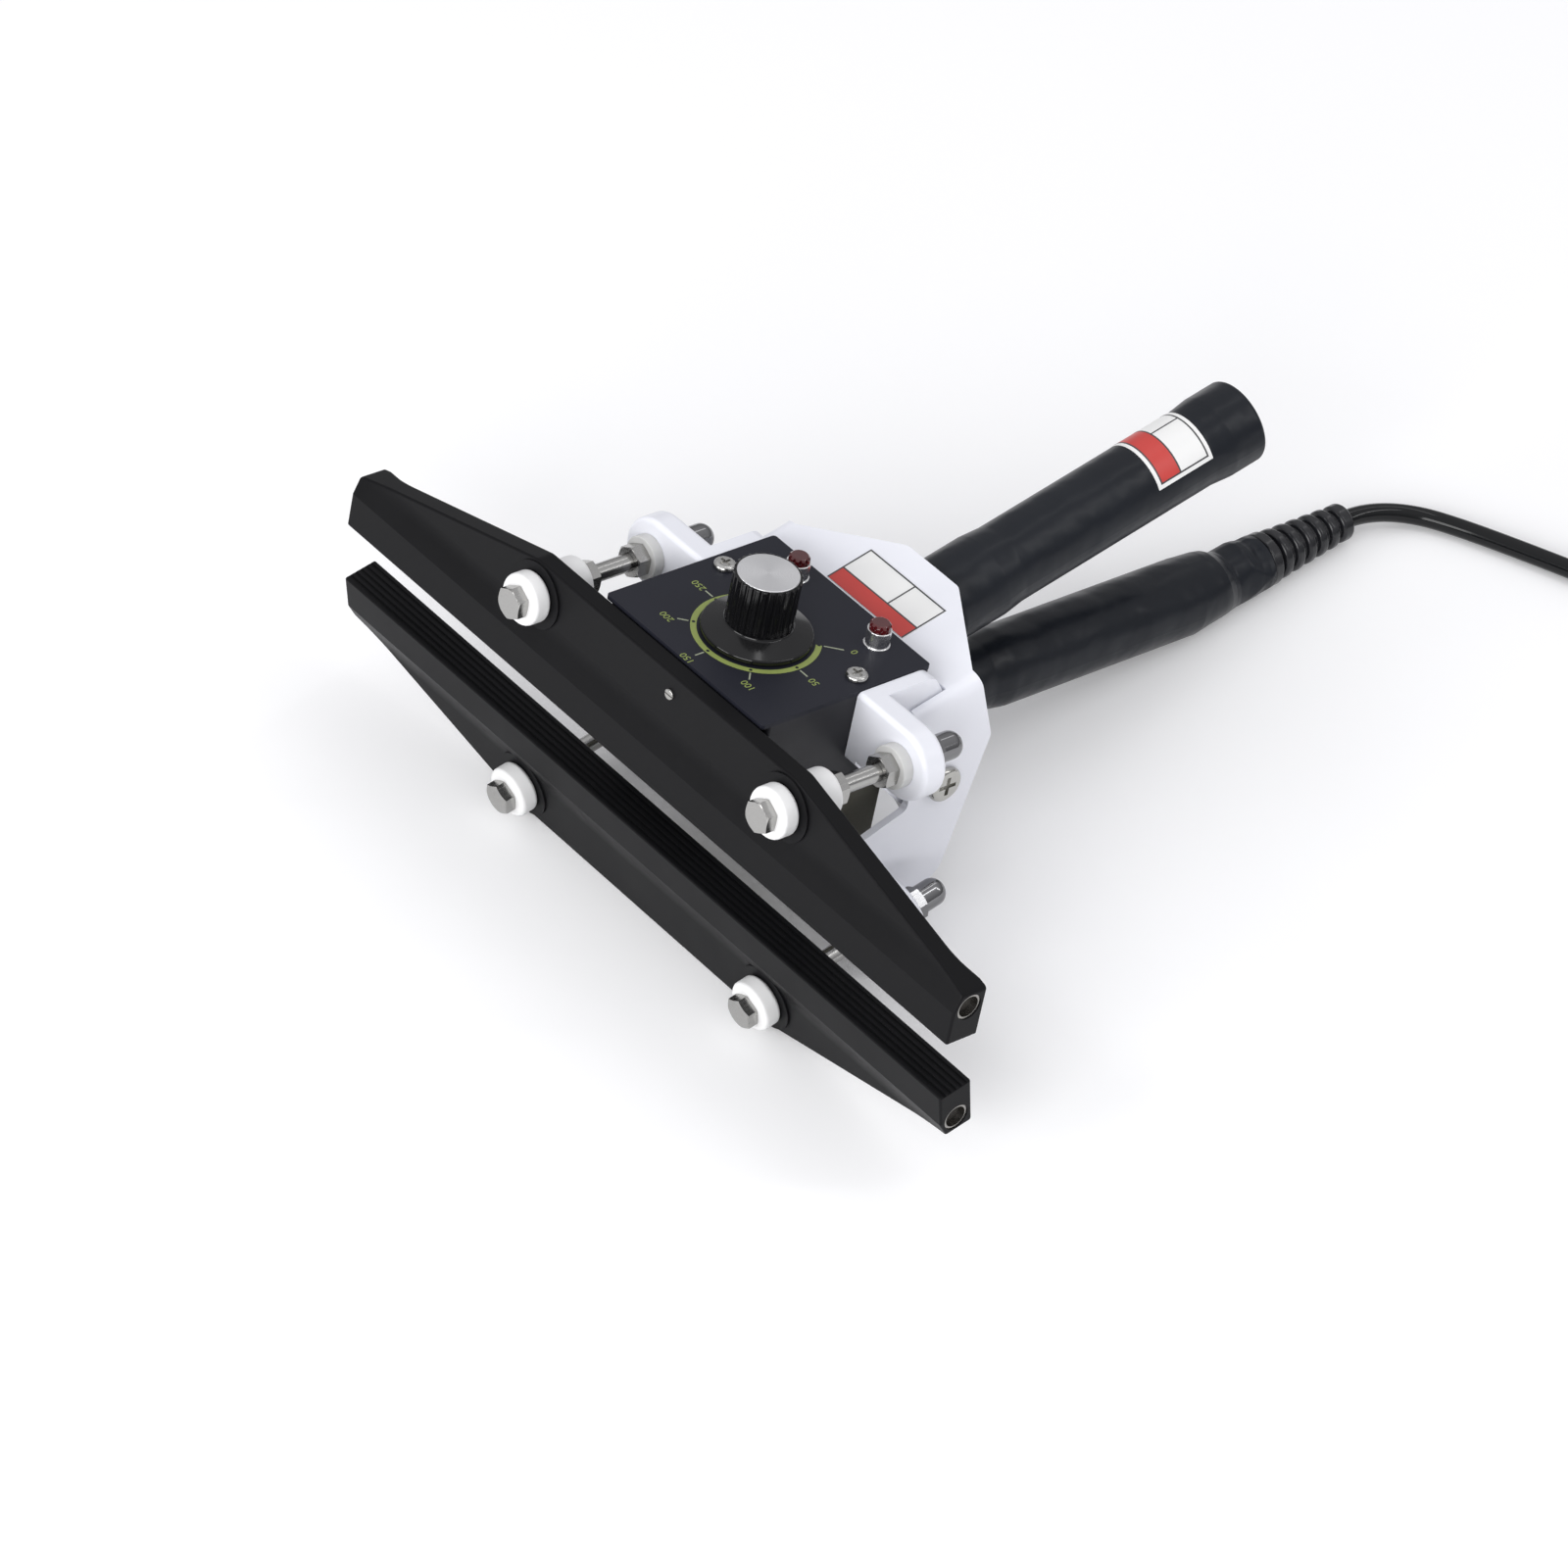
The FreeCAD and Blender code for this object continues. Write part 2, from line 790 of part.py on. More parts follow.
def pivot_parts():
    """Shoulder screws that the outer yoke turns on, their washers and nuts."""
    shoulder_end = plate_outer + side_play
    head_end = shoulder_end + pivot_head_height
    nut_start = cheek_inner - pivot_nut_height
    head_profile = outline(
        [
            (shoulder_end, 0, 0),
            (shoulder_end, pivot_head_radius, 0.6),
            (head_end, pivot_head_radius, 1.5),
            (head_end, 0, 0),
        ],
        along_z,
    )
    head = Part.Face(head_profile).revolve(Vector(0, 0, 0), Vector(1, 0, 0), 360)
    thread = rod_x(0, 0, pivot_thread_radius, nut_start - 1, cheek_outer)
    shoulder = rod_x(0, 0, pivot_radius, cheek_outer, shoulder_end)
    screw = joined([head, shoulder, thread])
    slot_reach = 0.55 * pivot_head_radius
    slot_half = 0.12 * pivot_head_radius
    for y, z in ((slot_reach, slot_half), (slot_half, slot_reach)):
        screw = screw.cut(box(head_end - pivot_head_height / 2, head_end + 1, -y, y, -z, z))
    washer = rod_x(0, 0, pivot_washer_radius, cheek_outer, plate_inner - side_play)
    washer = washer.cut(rod_x(0, 0, pivot_radius + fit_clearance, cheek_outer - 1, plate_inner + 1))
    lock_nut = hexagon_y(0, 0, hex_flats, -pivot_nut_height, 0)
    lock_nut.rotate(Vector(0, 0, 0), Vector(0, 0, 1), -90)
    lock_nut.translate(Vector(cheek_inner, 0, 0))
    lock_nut = lock_nut.cut(rod_x(0, 0, pivot_thread_radius + fit_clearance, nut_start - 5, cheek_outer))
    return {
        "pivot_screws": both_sides(screw),
        "pivot_washers": both_sides(washer),
        "pivot_nuts": both_sides(lock_nut),
    }


def control_panel():
    panel = prism(
        square(-box_half, box_half, panel_front_y, -box_back, panel_corner_radius),
        along_z,
        panel_under,
        panel_top,
    )
    cutters = [rod_z(0, knob_y, bushing_radius + fit_clearance, panel_under - 1, panel_top + 1)]
    for x in (lamp_left_x, lamp_right_x):
        cutters.append(rod_z(x, lamp_y, lamp_stem_radius + fit_clearance, panel_under - 1, panel_top + 1))
    for x in (-panel_screw_x, panel_screw_x):
        cutters.append(
            rod_z(x, panel_screw_y, panel_screw_radius + fit_clearance, panel_under - 1, panel_top + 1)
        )
    return without(panel, cutters)


def control_case():
    """Folded black case: four walls under the panel, with posts for the panel screws."""
    walls = prism(
        square(-box_half, box_half, case_front_y, -box_back, case_corner_radius),
        along_z,
        case_bottom,
        panel_under,
    )
    inner = box_half - case_wall
    walls = walls.cut(box(-inner, inner, case_front_y + case_wall, -box_back - case_wall, 0, panel_top))
    post = box(
        panel_screw_x - screw_post_size / 2,
        inner + case_wall / 2,
        panel_screw_y - screw_post_size / 2,
        panel_screw_y + screw_post_size / 2,
        panel_under - panel_screw_length - 2,
        panel_under,
    )
    post = post.cut(
        rod_z(
            panel_screw_x,
            panel_screw_y,
            panel_screw_radius + fit_clearance,
            panel_under - panel_screw_length,
            panel_under + 1,
        )
    )
    case = joined([walls] + both_sides(post))
    return without(case, lead_holes(fit_clearance))


def chassis_tray():
    """Zinc-plated tray that closes the case from below, with flanges in front and behind."""
    half = box_half - case_wall - tray_fit
    front = -tray_front
    back = -tray_back
    flange_front = case_front_y + case_wall + tray_fit
    flange_back = -box_back - case_wall - tray_fit
    rim = case_bottom + tray_overlap
    shell = box(-half, half, front, back, tray_bottom, rim)
    hollow = box(
        -half + tray_wall,
        half - tray_wall,
        front + tray_wall,
        back - tray_wall,
        tray_bottom + tray_wall,
        rim + 1,
    )
    shell = shell.cut(hollow)
    flanges = [
        box(-half, half, flange_front, front + tray_wall, case_bottom, case_bottom + tray_wall),
        box(-half, half, back - tray_wall, flange_back, case_bottom, case_bottom + tray_wall),
    ]
    return joined([shell] + flanges)


def panel_screws():
    head = turned_z(
        panel_screw_x,
        panel_screw_y,
        [
            (0, panel_top, 0),
            (panel_screw_head_radius, panel_top, 0.3),
            (panel_screw_head_radius, panel_top + panel_screw_head_height, 1.2),
            (0, panel_top + panel_screw_head_height, 0),
        ],
    )
    shank_end = panel_under - panel_screw_length + fit_clearance
    shank = rod_z(panel_screw_x, panel_screw_y, panel_screw_radius, shank_end, panel_top)
    screw = joined([head, shank])
    slot_reach = 0.55 * panel_screw_head_radius
    slot_half = 0.13 * panel_screw_head_radius
    floor = panel_top + panel_screw_head_height / 2
    for dx, dy in ((slot_reach, slot_half), (slot_half, slot_reach)):
        screw = screw.cut(
            box(
                panel_screw_x - dx,
                panel_screw_x + dx,
                panel_screw_y - dy,
                panel_screw_y + dy,
                floor,
                panel_top + 2 * panel_screw_head_height,
            )
        )
    return both_sides(screw)


def dial_parts():
    """Potentiometer under the panel, its nut and shaft, and the fluted knob with a metal cap."""
    body_bottom = panel_under - potentiometer_depth
    knob_bottom = panel_top + knob_float
    knob_top = panel_top + knob_height
    cavity_top = knob_bottom + knob_cavity_height
    shaft_top = cavity_top + shaft_length_in_knob
    shaft_bore = shaft_radius + running_clearance

    body = rod_z(0, knob_y, potentiometer_radius, body_bottom, panel_under)
    bushing = rod_z(0, knob_y, bushing_radius, panel_under, panel_top + bushing_rise)
    potentiometer = joined([body, bushing])
    shaft_room = rod_z(0, knob_y, shaft_bore, body_bottom + 2, panel_top + 2 * bushing_rise)
    potentiometer = potentiometer.cut(shaft_room)

    ring = hexagon_y(0, 0, potentiometer_nut_flats, 0, potentiometer_nut_height)
    ring.rotate(Vector(0, 0, 0), Vector(1, 0, 0), 90)
    ring.translate(Vector(0, knob_y, panel_top))
    ring = ring.cut(rod_z(0, knob_y, bushing_radius + fit_clearance, panel_top - 1, panel_top + 5))

    shaft = rod_z(0, knob_y, shaft_radius, body_bottom + 2 + fit_clearance, shaft_top)

    flute_low = knob_bottom + knob_flare_height
    knob = turned_z(
        0,
        knob_y,
        [
            (0, cavity_top, 0),
            (knob_cavity_radius, cavity_top, 0),
            (knob_cavity_radius, knob_bottom, 0),
            (knob_skirt_radius, knob_bottom, 0.5),
            (knob_skirt_radius, knob_bottom + knob_skirt_height, 0.8),
            (knob_grip_radius, flute_low, 1.0),
            (knob_grip_radius, knob_top - 0.2, 0.5),
            (knob_cap_radius + fit_clearance, knob_top - 0.2, 0),
            (knob_cap_radius + fit_clearance, knob_top - knob_cap_thickness, 0),
            (0, knob_top - knob_cap_thickness, 0),
        ],
    )
    for i in range(knob_flute_count):
        angle = 2 * math.pi * i / knob_flute_count
        reach = knob_grip_radius + knob_flute_radius / 3
        x = reach * math.cos(angle)
        y = knob_y + reach * math.sin(angle)
        knob = knob.cut(rod_z(x, y, knob_flute_radius, flute_low + 0.6, knob_top + 1))
    knob = knob.cut(rod_z(0, knob_y, shaft_radius + fit_clearance, cavity_top - 1, shaft_top + fit_clearance))

    cap = turned_z(
        0,
        knob_y,
        [
            (0, knob_top - knob_cap_thickness, 0),
            (knob_cap_radius, knob_top - knob_cap_thickness, 0),
            (knob_cap_radius, knob_top, 0.3),
            (0, knob_top, 0),
        ],
    )
    return {
        "potentiometer": [potentiometer],
        "potentiometer_nut": [ring],
        "potentiometer_shaft": [shaft],
        "dial_knob": [knob],
        "knob_cap": [cap],
    }


def lamp_parts():
    """Two signal lamps: chromed barrels through the panel, each with a ribbed lens in its bore."""
    seat = panel_top + lamp_seat_height
    rim = panel_top + lamp_barrel_height
    top = rim + lamp_lens_rise
    bore = lamp_lens_radius + fit_clearance
    bezel = [
        (0, panel_top - lamp_stem_length, 0),
        (lamp_stem_radius, panel_top - lamp_stem_length, 0),
        (lamp_stem_radius, panel_top, 0),
        (lamp_flange_radius, panel_top, 0),
        (lamp_flange_radius, panel_top + lamp_flange_height, 0.3),
        (lamp_barrel_radius, panel_top + lamp_flange_height, 0),
        (lamp_barrel_radius, rim, 0.25),
        (bore, rim, 0),
        (bore, seat, 0),
        (0, seat, 0),
    ]
    lens = [
        (0, seat, 0),
        (lamp_lens_radius, seat, 0),
        (lamp_lens_radius, top - lamp_lens_bevel, 0.4),
        (lamp_lens_radius - lamp_lens_bevel, top, 0.4),
        (0, top, 0),
    ]
    grooves = []
    for i in range(lamp_lens_ribs):
        angle = 2 * math.pi * i / lamp_lens_ribs
        x = lamp_lens_radius * math.cos(angle)
        y = lamp_lens_radius * math.sin(angle)
        grooves.append(rod_z(x, y, lamp_groove_radius, rim, top + 1))
    bezels = []
    lenses = []
    for x in (lamp_left_x, lamp_right_x):
        bezels.append(turned_z(x, lamp_y, bezel))
        ribbed = without(turned_z(0, 0, lens), grooves)
        ribbed.translate(Vector(x, lamp_y, 0))
        lenses.append(ribbed)
    return {"lamp_bezels": bezels, "lamp_lenses": lenses}


def standing_on(height, x, y, width, depth, rise):
    return box(x, x + width, y, y + depth, height, height + rise)


def electronics():
    """Circuit board on standoffs in the tray, with terminal block, triac and finned heat sink."""
    half = board_width / 2
    board_top = board_height + board_thickness
    board = box(-half, half, board_front, board_back, board_height, board_top)
    posts = []
    for x in (-half + standoff_inset, half - standoff_inset):
        for y in (board_front + standoff_inset, board_back - standoff_inset):
            posts.append(rod_z(x, y, standoff_radius, tray_bottom + tray_wall, board_height))
    block_y = board_back - 2 * standoff_inset - terminal_depth
    terminal = standing_on(board_top, 2 - half, block_y, terminal_length, terminal_depth, terminal_height)
    sink_y = board_front + 2 * standoff_inset
    sink_x = half - 2 - heat_sink_width
    sink = standing_on(board_top, sink_x, sink_y, heat_sink_width, heat_sink_depth, heat_sink_height)
    gap = (heat_sink_width - heat_sink_fins * heat_sink_fin) / (heat_sink_fins - 1)
    for i in range(heat_sink_fins - 1):
        x = sink_x + heat_sink_fin + i * (gap + heat_sink_fin)
        back = sink_y + heat_sink_depth - heat_sink_base
        top = board_top + heat_sink_height + 1
        sink = sink.cut(box(x, x + gap, sink_y - 1, back, board_top - 1, top))
    triac_x = sink_x + heat_sink_width / 2 - triac_width / 2
    triac_y = sink_y + heat_sink_depth
    triac = standing_on(board_top, triac_x, triac_y, triac_width, triac_thickness, triac_height)
    return {
        "circuit_board": [board],
        "board_standoffs": posts,
        "terminal_block": [terminal],
        "heat_sink": [sink],
        "triac": [triac],
    }


def handle_tube(z, y0, y1):
    tube = rod_y(0, z, tube_radius, y0, y1)
    return tube.cut(rod_y(0, z, tube_radius - tube_wall, y0 - 1, y1 + 1))


def upper_grip():
    """Shrunk rubber sleeve that swells over the tube's root and over its end."""
    bore = tube_radius + fit_clearance
    start = plate_tail_end + grip_gap
    end = upper_grip_end
    sleeve = [
        (bore, start, 0),
        (upper_grip_root_radius, start, grip_edge_radius),
        (upper_grip_root_radius, start + upper_grip_root_length, 6.0),
        (upper_grip_radius, start + upper_grip_root_length + grip_blend, 10.0),
        (upper_grip_radius, end - upper_grip_flare_length - grip_blend, 10.0),
        (upper_grip_flare_radius, end - upper_grip_flare_length, 6.0),
        (upper_grip_flare_radius, end, grip_edge_radius),
        (bore, end, 0),
    ]
    return turned_y(0, upper_handle_rise, sleeve)


def upper_end_plug():
    end = upper_grip_end - end_plug_recess
    wide = tube_radius
    narrow = tube_radius - tube_wall - fit_clearance
    plug = [
        (0, upper_tube_end - end_plug_length, 0),
        (narrow, upper_tube_end - end_plug_length, 0),
        (narrow, upper_tube_end, 0),
        (wide, upper_tube_end, 0),
        (wide, end, 1.0),
        (0, end, 0),
    ]
    return turned_y(0, upper_handle_rise, plug)


def on_control_lever(shape):
    """Moves a shape from the control lever's frame to its place at rest."""
    moved = shape.copy()
    moved.rotate(Vector(0, 0, 0), Vector(1, 0, 0), control_lever_tilt)
    moved.translate(Vector(0, 0, pivot_height))
    return moved


def on_grip_lever(shape):
    """Moves a shape from the grip lever's frame to its place at rest."""
    moved = shape.copy()
    moved.rotate(Vector(0, 0, 0), Vector(1, 0, 0), grip_lever_tilt)
    moved.translate(Vector(0, 0, pivot_height))
    return moved


def control_point(y, z):
    """Place at rest of a point in the control lever's middle plane."""
    tilt = math.radians(control_lever_tilt)
    return Vector(
        0,
        y * math.cos(tilt) - z * math.sin(tilt),
        pivot_height + y * math.sin(tilt) + z * math.cos(tilt),
    )


def tail_point(distance, radius):
    """Middle of a round section of the lower grip's tail, which lies on the floor."""
    start = control_point(lower_grip_straight_end, -lower_handle_drop)
    return Vector(0, start.y + distance, radius + floor_clearance)


def relief_axis():
    """Start and direction of the strain relief, which slopes down to the cord on the floor."""
    fall = math.atan2(relief_drop, relief_length)
    start = tail_point(*lower_grip_tail[-1])
    return start, Vector(0, math.cos(fall), -math.sin(fall))


def lower_grip():
    """Shrunk rubber sleeve on the lower tube, drawn in along the floor to the strain relief."""
    start = socket_end + grip_gap
    sleeve = turned_y(
        0,
        -lower_handle_drop,
        [
            (0, start, 0),
            (lower_grip_root_radius, start, grip_edge_radius),
            (lower_grip_root_radius, start + lower_grip_root_length, 6.0),
            (lower_grip_radius, start + lower_grip_root_length + grip_blend, 10.0),
            (lower_grip_radius, lower_grip_straight_end, 0),
            (0, lower_grip_straight_end, 0),
        ],
    )
    sleeve = on_control_lever(sleeve)
    tilt = math.radians(control_lever_tilt)
    root = Part.Circle(
        control_point(lower_grip_straight_end, -lower_handle_drop),
        Vector(0, math.cos(tilt), math.sin(tilt)),
        lower_grip_radius,
    )
    circles = [root]
    for distance, radius in lower_grip_tail:
        circles.append(Part.Circle(tail_point(distance, radius), Vector(0, 1, 0), radius))
    wires = [Part.Wire(circle.toShape()) for circle in circles]
    grip = sleeve.fuse(Part.makeLoft(wires, True, True))
    bore = on_control_lever(
        rod_y(0, -lower_handle_drop, tube_radius + fit_clearance, socket_end, lower_tube_end + fit_clearance)
    )
    place, direction = relief_axis()
    seat = Part.makeCylinder(
        relief_plug_radius + fit_clearance,
        relief_plug_length + 1 + fit_clearance,
        place - direction * (relief_plug_length + fit_clearance),
        direction,
    )
    collar_room = Part.makeCylinder(2 * relief_collar_radius, relief_collar_length, place, direction)
    return grip.cut(bore).cut(seat).cut(collar_room)


def strain_relief():
    """Tapered rubber sleeve with ribs, plugged into the grip's end."""
    place, direction = relief_axis()
    points = [
        (0, -relief_plug_length, 0),
        (relief_plug_radius, -relief_plug_length, 0),
        (relief_plug_radius, fit_clearance, 0),
        (relief_collar_radius, fit_clearance, 0.8),
        (relief_collar_radius, relief_collar_length, 0.8),
    ]
    step = (relief_length - relief_collar_length - relief_cap_length) / relief_ribs
    for i in range(relief_ribs + 1):
        rib = relief_root_radius + (relief_tip_radius - relief_root_radius) * i / relief_ribs
        groove = rib - relief_groove_depth
        start = relief_collar_length + i * step
        points.append((groove, start, 0.3))
        points.append((groove, start + 0.28 * step, 0.3))
        points.append((rib, start + 0.40 * step, relief_rib_rounding))
        if i < relief_ribs:
            points.append((rib, start + 0.96 * step, relief_rib_rounding))
    points.append((relief_tip_radius, relief_length, relief_cap_rounding))
    points.append((0, relief_length, 0))
    shape = turned_y(0, 0, points)
    shape.rotate(Vector(0, 0, 0), Vector(1, 0, 0), math.degrees(math.asin(direction.z)))
    shape.translate(place)
    return shape


def swept(edges, radius):
    """Round tube along a chain of edges, with a check of its volume."""
    path = Part.Wire(edges)
    start = edges[0].valueAt(edges[0].FirstParameter)
    direction = edges[0].tangentAt(edges[0].FirstParameter)
    ring = Part.Wire(Part.Circle(start, direction, radius).toShape())
    tube = path.makePipeShell([ring], True, False)
    expected = math.pi * radius * radius * path.Length
    print("tube: length %.1f, volume over section times length %.4f" % (path.Length, tube.Volume / expected))
    return tube


def route_edges(points):
    """Straight runs joined by arcs as large as their runs allow."""
    places = [Vector(*point) for point in points]
    edges = []
    radii = []
    start = places[0]
    for i in range(1, len(places) - 1):
        back = places[i - 1] - places[i]
        ahead = places[i + 1] - places[i]
        reach = 0.45 * min(back.Length, ahead.Length)
        turn = math.pi - back.getAngle(ahead)
        radii.append(reach / math.tan(turn / 2))
        back.normalize()
        ahead.normalize()
        enter = places[i] + back * reach
        leave = places[i] + ahead * reach
        rise = radii[-1] / math.cos(turn / 2) - radii[-1]
        middle = places[i] + (back + ahead).normalize() * rise
        edges.append(Part.LineSegment(start, enter).toShape())
        edges.append(Part.Arc(enter, middle, leave).toShape())
        start = leave
    edges.append(Part.LineSegment(start, places[-1]).toShape())
    print("cord radii:", [round(radius, 1) for radius in radii])
    return edges


def bulge(start, tangent, end):
    """Middle of the arc that leaves start along tangent and reaches end."""
    chord = end - start
    along = Vector(chord).normalize()
    share = tangent.dot(along)
    across = (tangent - along * share).normalize()
    angle = math.acos(share)
    return start + chord * 0.5 + across * (chord.Length / 2 * math.tan(angle / 2))


def half_turn(start, tangent, end):
    """Two tangent arcs through half a turn; the end may lie higher than the start."""
    chord = end - start
    reach = math.sqrt((chord.x**2 + chord.y**2) / 4 + chord.z**2 / 4)
    top = start + chord * 0.5 + tangent * reach
    first = Part.Arc(start, bulge(start, tangent, top), top).toShape()
    second = Part.Arc(top, bulge(end, tangent, top), end).toShape()
    return [first, second]


def least_self_gap(edges, radius):
    """Least clear distance between stretches of one tube that lie more than a few radii apart along it."""
    points = []
    run = 0.0
    for edge in edges:
        steps = max(2, int(edge.Length / radius))
        first = edge.FirstParameter
        span = edge.LastParameter - first
        for k in range(steps):
            points.append((run + edge.Length * k / steps, edge.valueAt(first + span * k / steps)))
        run += edge.Length
    least = run
    for i in range(len(points)):
        for k in range(i + 1, len(points)):
            if points[k][0] - points[i][0] > 8 * radius:
                least = min(least, points[i][1].distanceToPoint(points[k][1]) - 2 * radius)
    return least


def lead_route():
    """The cord's route to the coil, from the strain relief's end on."""
    place, direction = relief_axis()
    exits = [place + direction * relief_length]
    exits.append(exits[0] + direction * cord_exit_run)
    route = [(point.x, point.y, point.z) for point in exits]
    return route + [(exits[0].x + x, exits[0].y + y, z) for x, y, z in cord_route]


def coil_radii():
    """Radius of each half turn: spiral in on the floor, one climbing half turn, spiral out on top."""
    step = coil_pitch / 2
    inward = [coil_inner_radius + step * (coil_half_turns_in - i) for i in range(coil_half_turns_in)]
    outward = [coil_inner_radius + step * (i + 1) for i in range(coil_half_turns_out)]
    return inward + [coil_inner_radius] + outward


def coil_start():
    end = lead_route()[-1]
    return Vector(coil_centre_x, end[1], coil_height)


def coil_edges():
    """The coil's path: one diameter straight, the half turns, one diameter straight."""
    place = coil_start()
    tangent = Vector(1, 0, 0)
    side = 1
    edges = [Part.LineSegment(place - tangent * 2 * cord_radius, place).toShape()]
    for i, radius in enumerate(coil_radii()):
        rise = coil_layer_rise if i == coil_half_turns_in else 0
        following = place + Vector(0, side * 2 * radius, rise)
        edges += half_turn(place, tangent, following)
        place = following
        tangent = tangent * -1
        side = -side
    edges.append(Part.LineSegment(place, place + tangent * 2 * cord_radius).toShape())
    return edges


def coil_end():
    edges = coil_edges()
    return edges[-1].valueAt(edges[-1].LastParameter)


def coil_tie():
    """Strap round the bundle on the side where all turns lie in two even layers."""
    radii = coil_radii()[1::2]
    x0 = coil_centre_x - max(radii) - cord_radius - tie_gap
    x1 = coil_centre_x - min(radii) + cord_radius + tie_inner_gap
    z0 = coil_height - cord_radius - tie_gap
    z1 = coil_height + coil_layer_rise + cord_radius + tie_gap
    y = coil_start().y + coil_radii()[0]
    wall = tie_thickness
    outer = square(x0 - wall, x1 + wall, z0 - wall, z1 + wall, cord_radius + wall)
    inner = square(x0, x1, z0, z1, cord_radius)
    strap = prism(outer, along_y, y - tie_width / 2, y + tie_width / 2)
    return strap.cut(prism(inner, along_y, y - tie_width, y + tie_width))


def tail_route():
    """From the end of the coil down to the plug's boot, straight on."""
    start = coil_end()
    return [
        (start.x, start.y, start.z),
        (start.x + 14, start.y, start.z),
        (start.x + 32, start.y - 2, start.z - 2),
        (start.x + 50, start.y - 2, plug_axis_height),
        (start.x + 62, start.y - 2, plug_axis_height),
    ]


def plug_parts():
    """Flat two-pin mains plug lying beside the coil."""
    x, y, z = tail_route()[-1]
    start = Vector(x, y, z)
    boot = Part.makeCone(plug_boot_tip_radius, plug_boot_radius, plug_boot_length, start, Vector(1, 0, 0))
    x0 = x + plug_boot_length - 2
    x1 = x0 + plug_length
    body = prism(
        [
            (x0, y - plug_neck_width / 2, 3),
            (x0 + plug_length / 2, y - plug_width / 2, 6),
            (x1, y - plug_width / 2, 1.5),
            (x1, y + plug_width / 2, 1.5),
            (x0 + plug_length / 2, y + plug_width / 2, 6),
            (x0, y + plug_neck_width / 2, 3),
        ],
        along_z,
        z - plug_thickness / 2,
        z + plug_thickness / 2,
    )
    body = rounded(body, plug_edge_radius, lambda edge: edge.BoundBox.ZLength < 1e-4)
    body = joined([body, boot])
    pins = []
    for side in (-1, 1):
        pin_y = y + side * pin_spacing / 2
        pins.append(rod_x(pin_y, z, pin_radius, x1 - pin_depth, x1 + pin_length))
        body = body.cut(rod_x(pin_y, z, pin_radius + fit_clearance, x1 - pin_depth - fit_clearance, x1 + 1))
    return {"plug_body": [body], "plug_pins": pins}


def return_spring():
    """Compression spring between the inner yoke's pad and the upper handle tube, wound in half turns."""
    low = spring_pad_rise + spring_wire_radius + spring_seat_gap
    near_y = spring_y - spring_radius - spring_wire_radius
    tube_bottom = upper_handle_rise - tube_radius
    seat = near_y * math.tan(open_rad) + tube_bottom / math.cos(open_rad)
    high = seat - spring_wire_radius - spring_seat_gap
    half_turns = 2 * spring_turns
    place = Vector(0, spring_y - spring_radius, low)
    tangent = Vector(1, 0, 0)
    side = 1
    edges = [Part.LineSegment(place - tangent * 2 * spring_wire_radius, place).toShape()]
    for i in range(half_turns):
        following = place + Vector(0, side * 2 * spring_radius, (high - low) / half_turns)
        edges += half_turn(place, tangent, following)
        place = following
        tangent = tangent * -1
        side = -side
    edges.append(Part.LineSegment(place, place + tangent * 2 * spring_wire_radius).toShape())
    print("spring: least gap to itself %.2f" % least_self_gap(edges, spring_wire_radius))
    return swept(edges, spring_wire_radius)


def label_plate():
    """Blank sticker on the outer yoke's top plate."""
    return box(
        -label_width / 2,
        label_width / 2,
        label_front,
        label_front + label_length,
        plate_top,
        plate_top + label_thickness,
    )


def control_lever_nodes():
    nodes = {
        "upper_jaw": [without(jaw_bar(), lead_holes(fit_clearance) + [sensor_hole()])],
        "upper_heater_sheath": [without(heater_sheath(), lead_holes(fit_clearance))],
        "upper_heater_core": [without(heater_core(), lead_holes(fit_clearance))],
        "upper_heater_leads": heater_leads(),
        "sensor_screw": [sensor_screw()],
        "inner_yoke": [inner_yoke()],
        "control_panel": [control_panel()],
        "control_case": [control_case()],
        "chassis_tray": [chassis_tray()],
        "panel_screws": panel_screws(),
        "return_spring": [return_spring()],
        "lower_handle_tube": [handle_tube(-lower_handle_drop, lower_tube_start, lower_tube_end)],
    }
    nodes.update({"upper_" + name: shapes for name, shapes in jaw_fasteners().items()})
    nodes.update(pivot_parts())
    nodes.update(dial_parts())
    nodes.update(lamp_parts())
    nodes.update(electronics())
    return nodes


def grip_lever_nodes():
    nodes = {
        "lower_jaw": [below(jaw_bar())],
        "lower_heater_sheath": [below(heater_sheath())],
        "lower_heater_core": [below(heater_core())],
        "outer_yoke": [outer_yoke()],
        "label_plate": [label_plate()],
        "upper_handle_tube": [handle_tube(upper_handle_rise, upper_tube_start, upper_tube_end)],
        "upper_grip": [upper_grip()],
        "upper_end_plug": [upper_end_plug()],
    }
    for name, shapes in jaw_fasteners().items():
        nodes["lower_" + name] = [below(shape) for shape in shapes]
    return nodes


def cord_nodes():
    edges = coil_edges()
    print("coil: least gap to itself %.2f" % least_self_gap(edges, cord_radius))
    nodes = {
        "strain_relief": [strain_relief()],
        "cord_lead": [swept(route_edges(lead_route()), cord_radius)],
        "cord_coil": [swept(edges, cord_radius)],
        "coil_tie": [coil_tie()],
        "cord_tail": [swept(route_edges(tail_route()), cord_radius)],
    }
    nodes.update(plug_parts())
    return nodes


def solids_of(shape):
    return shape.Solids if shape.Solids else [shape]


def write(name, shapes, shift):
    solids = []
    for shape in shapes:
        solids += solids_of(shape)
    whole = solids[0] if len(solids) == 1 else Part.makeCompound(solids)
    whole = whole.copy()
    whole.translate(shift)
    whole.exportStep(os.path.join("parts", name + ".step"))
    if not whole.isValid():
        print("not valid:", name)


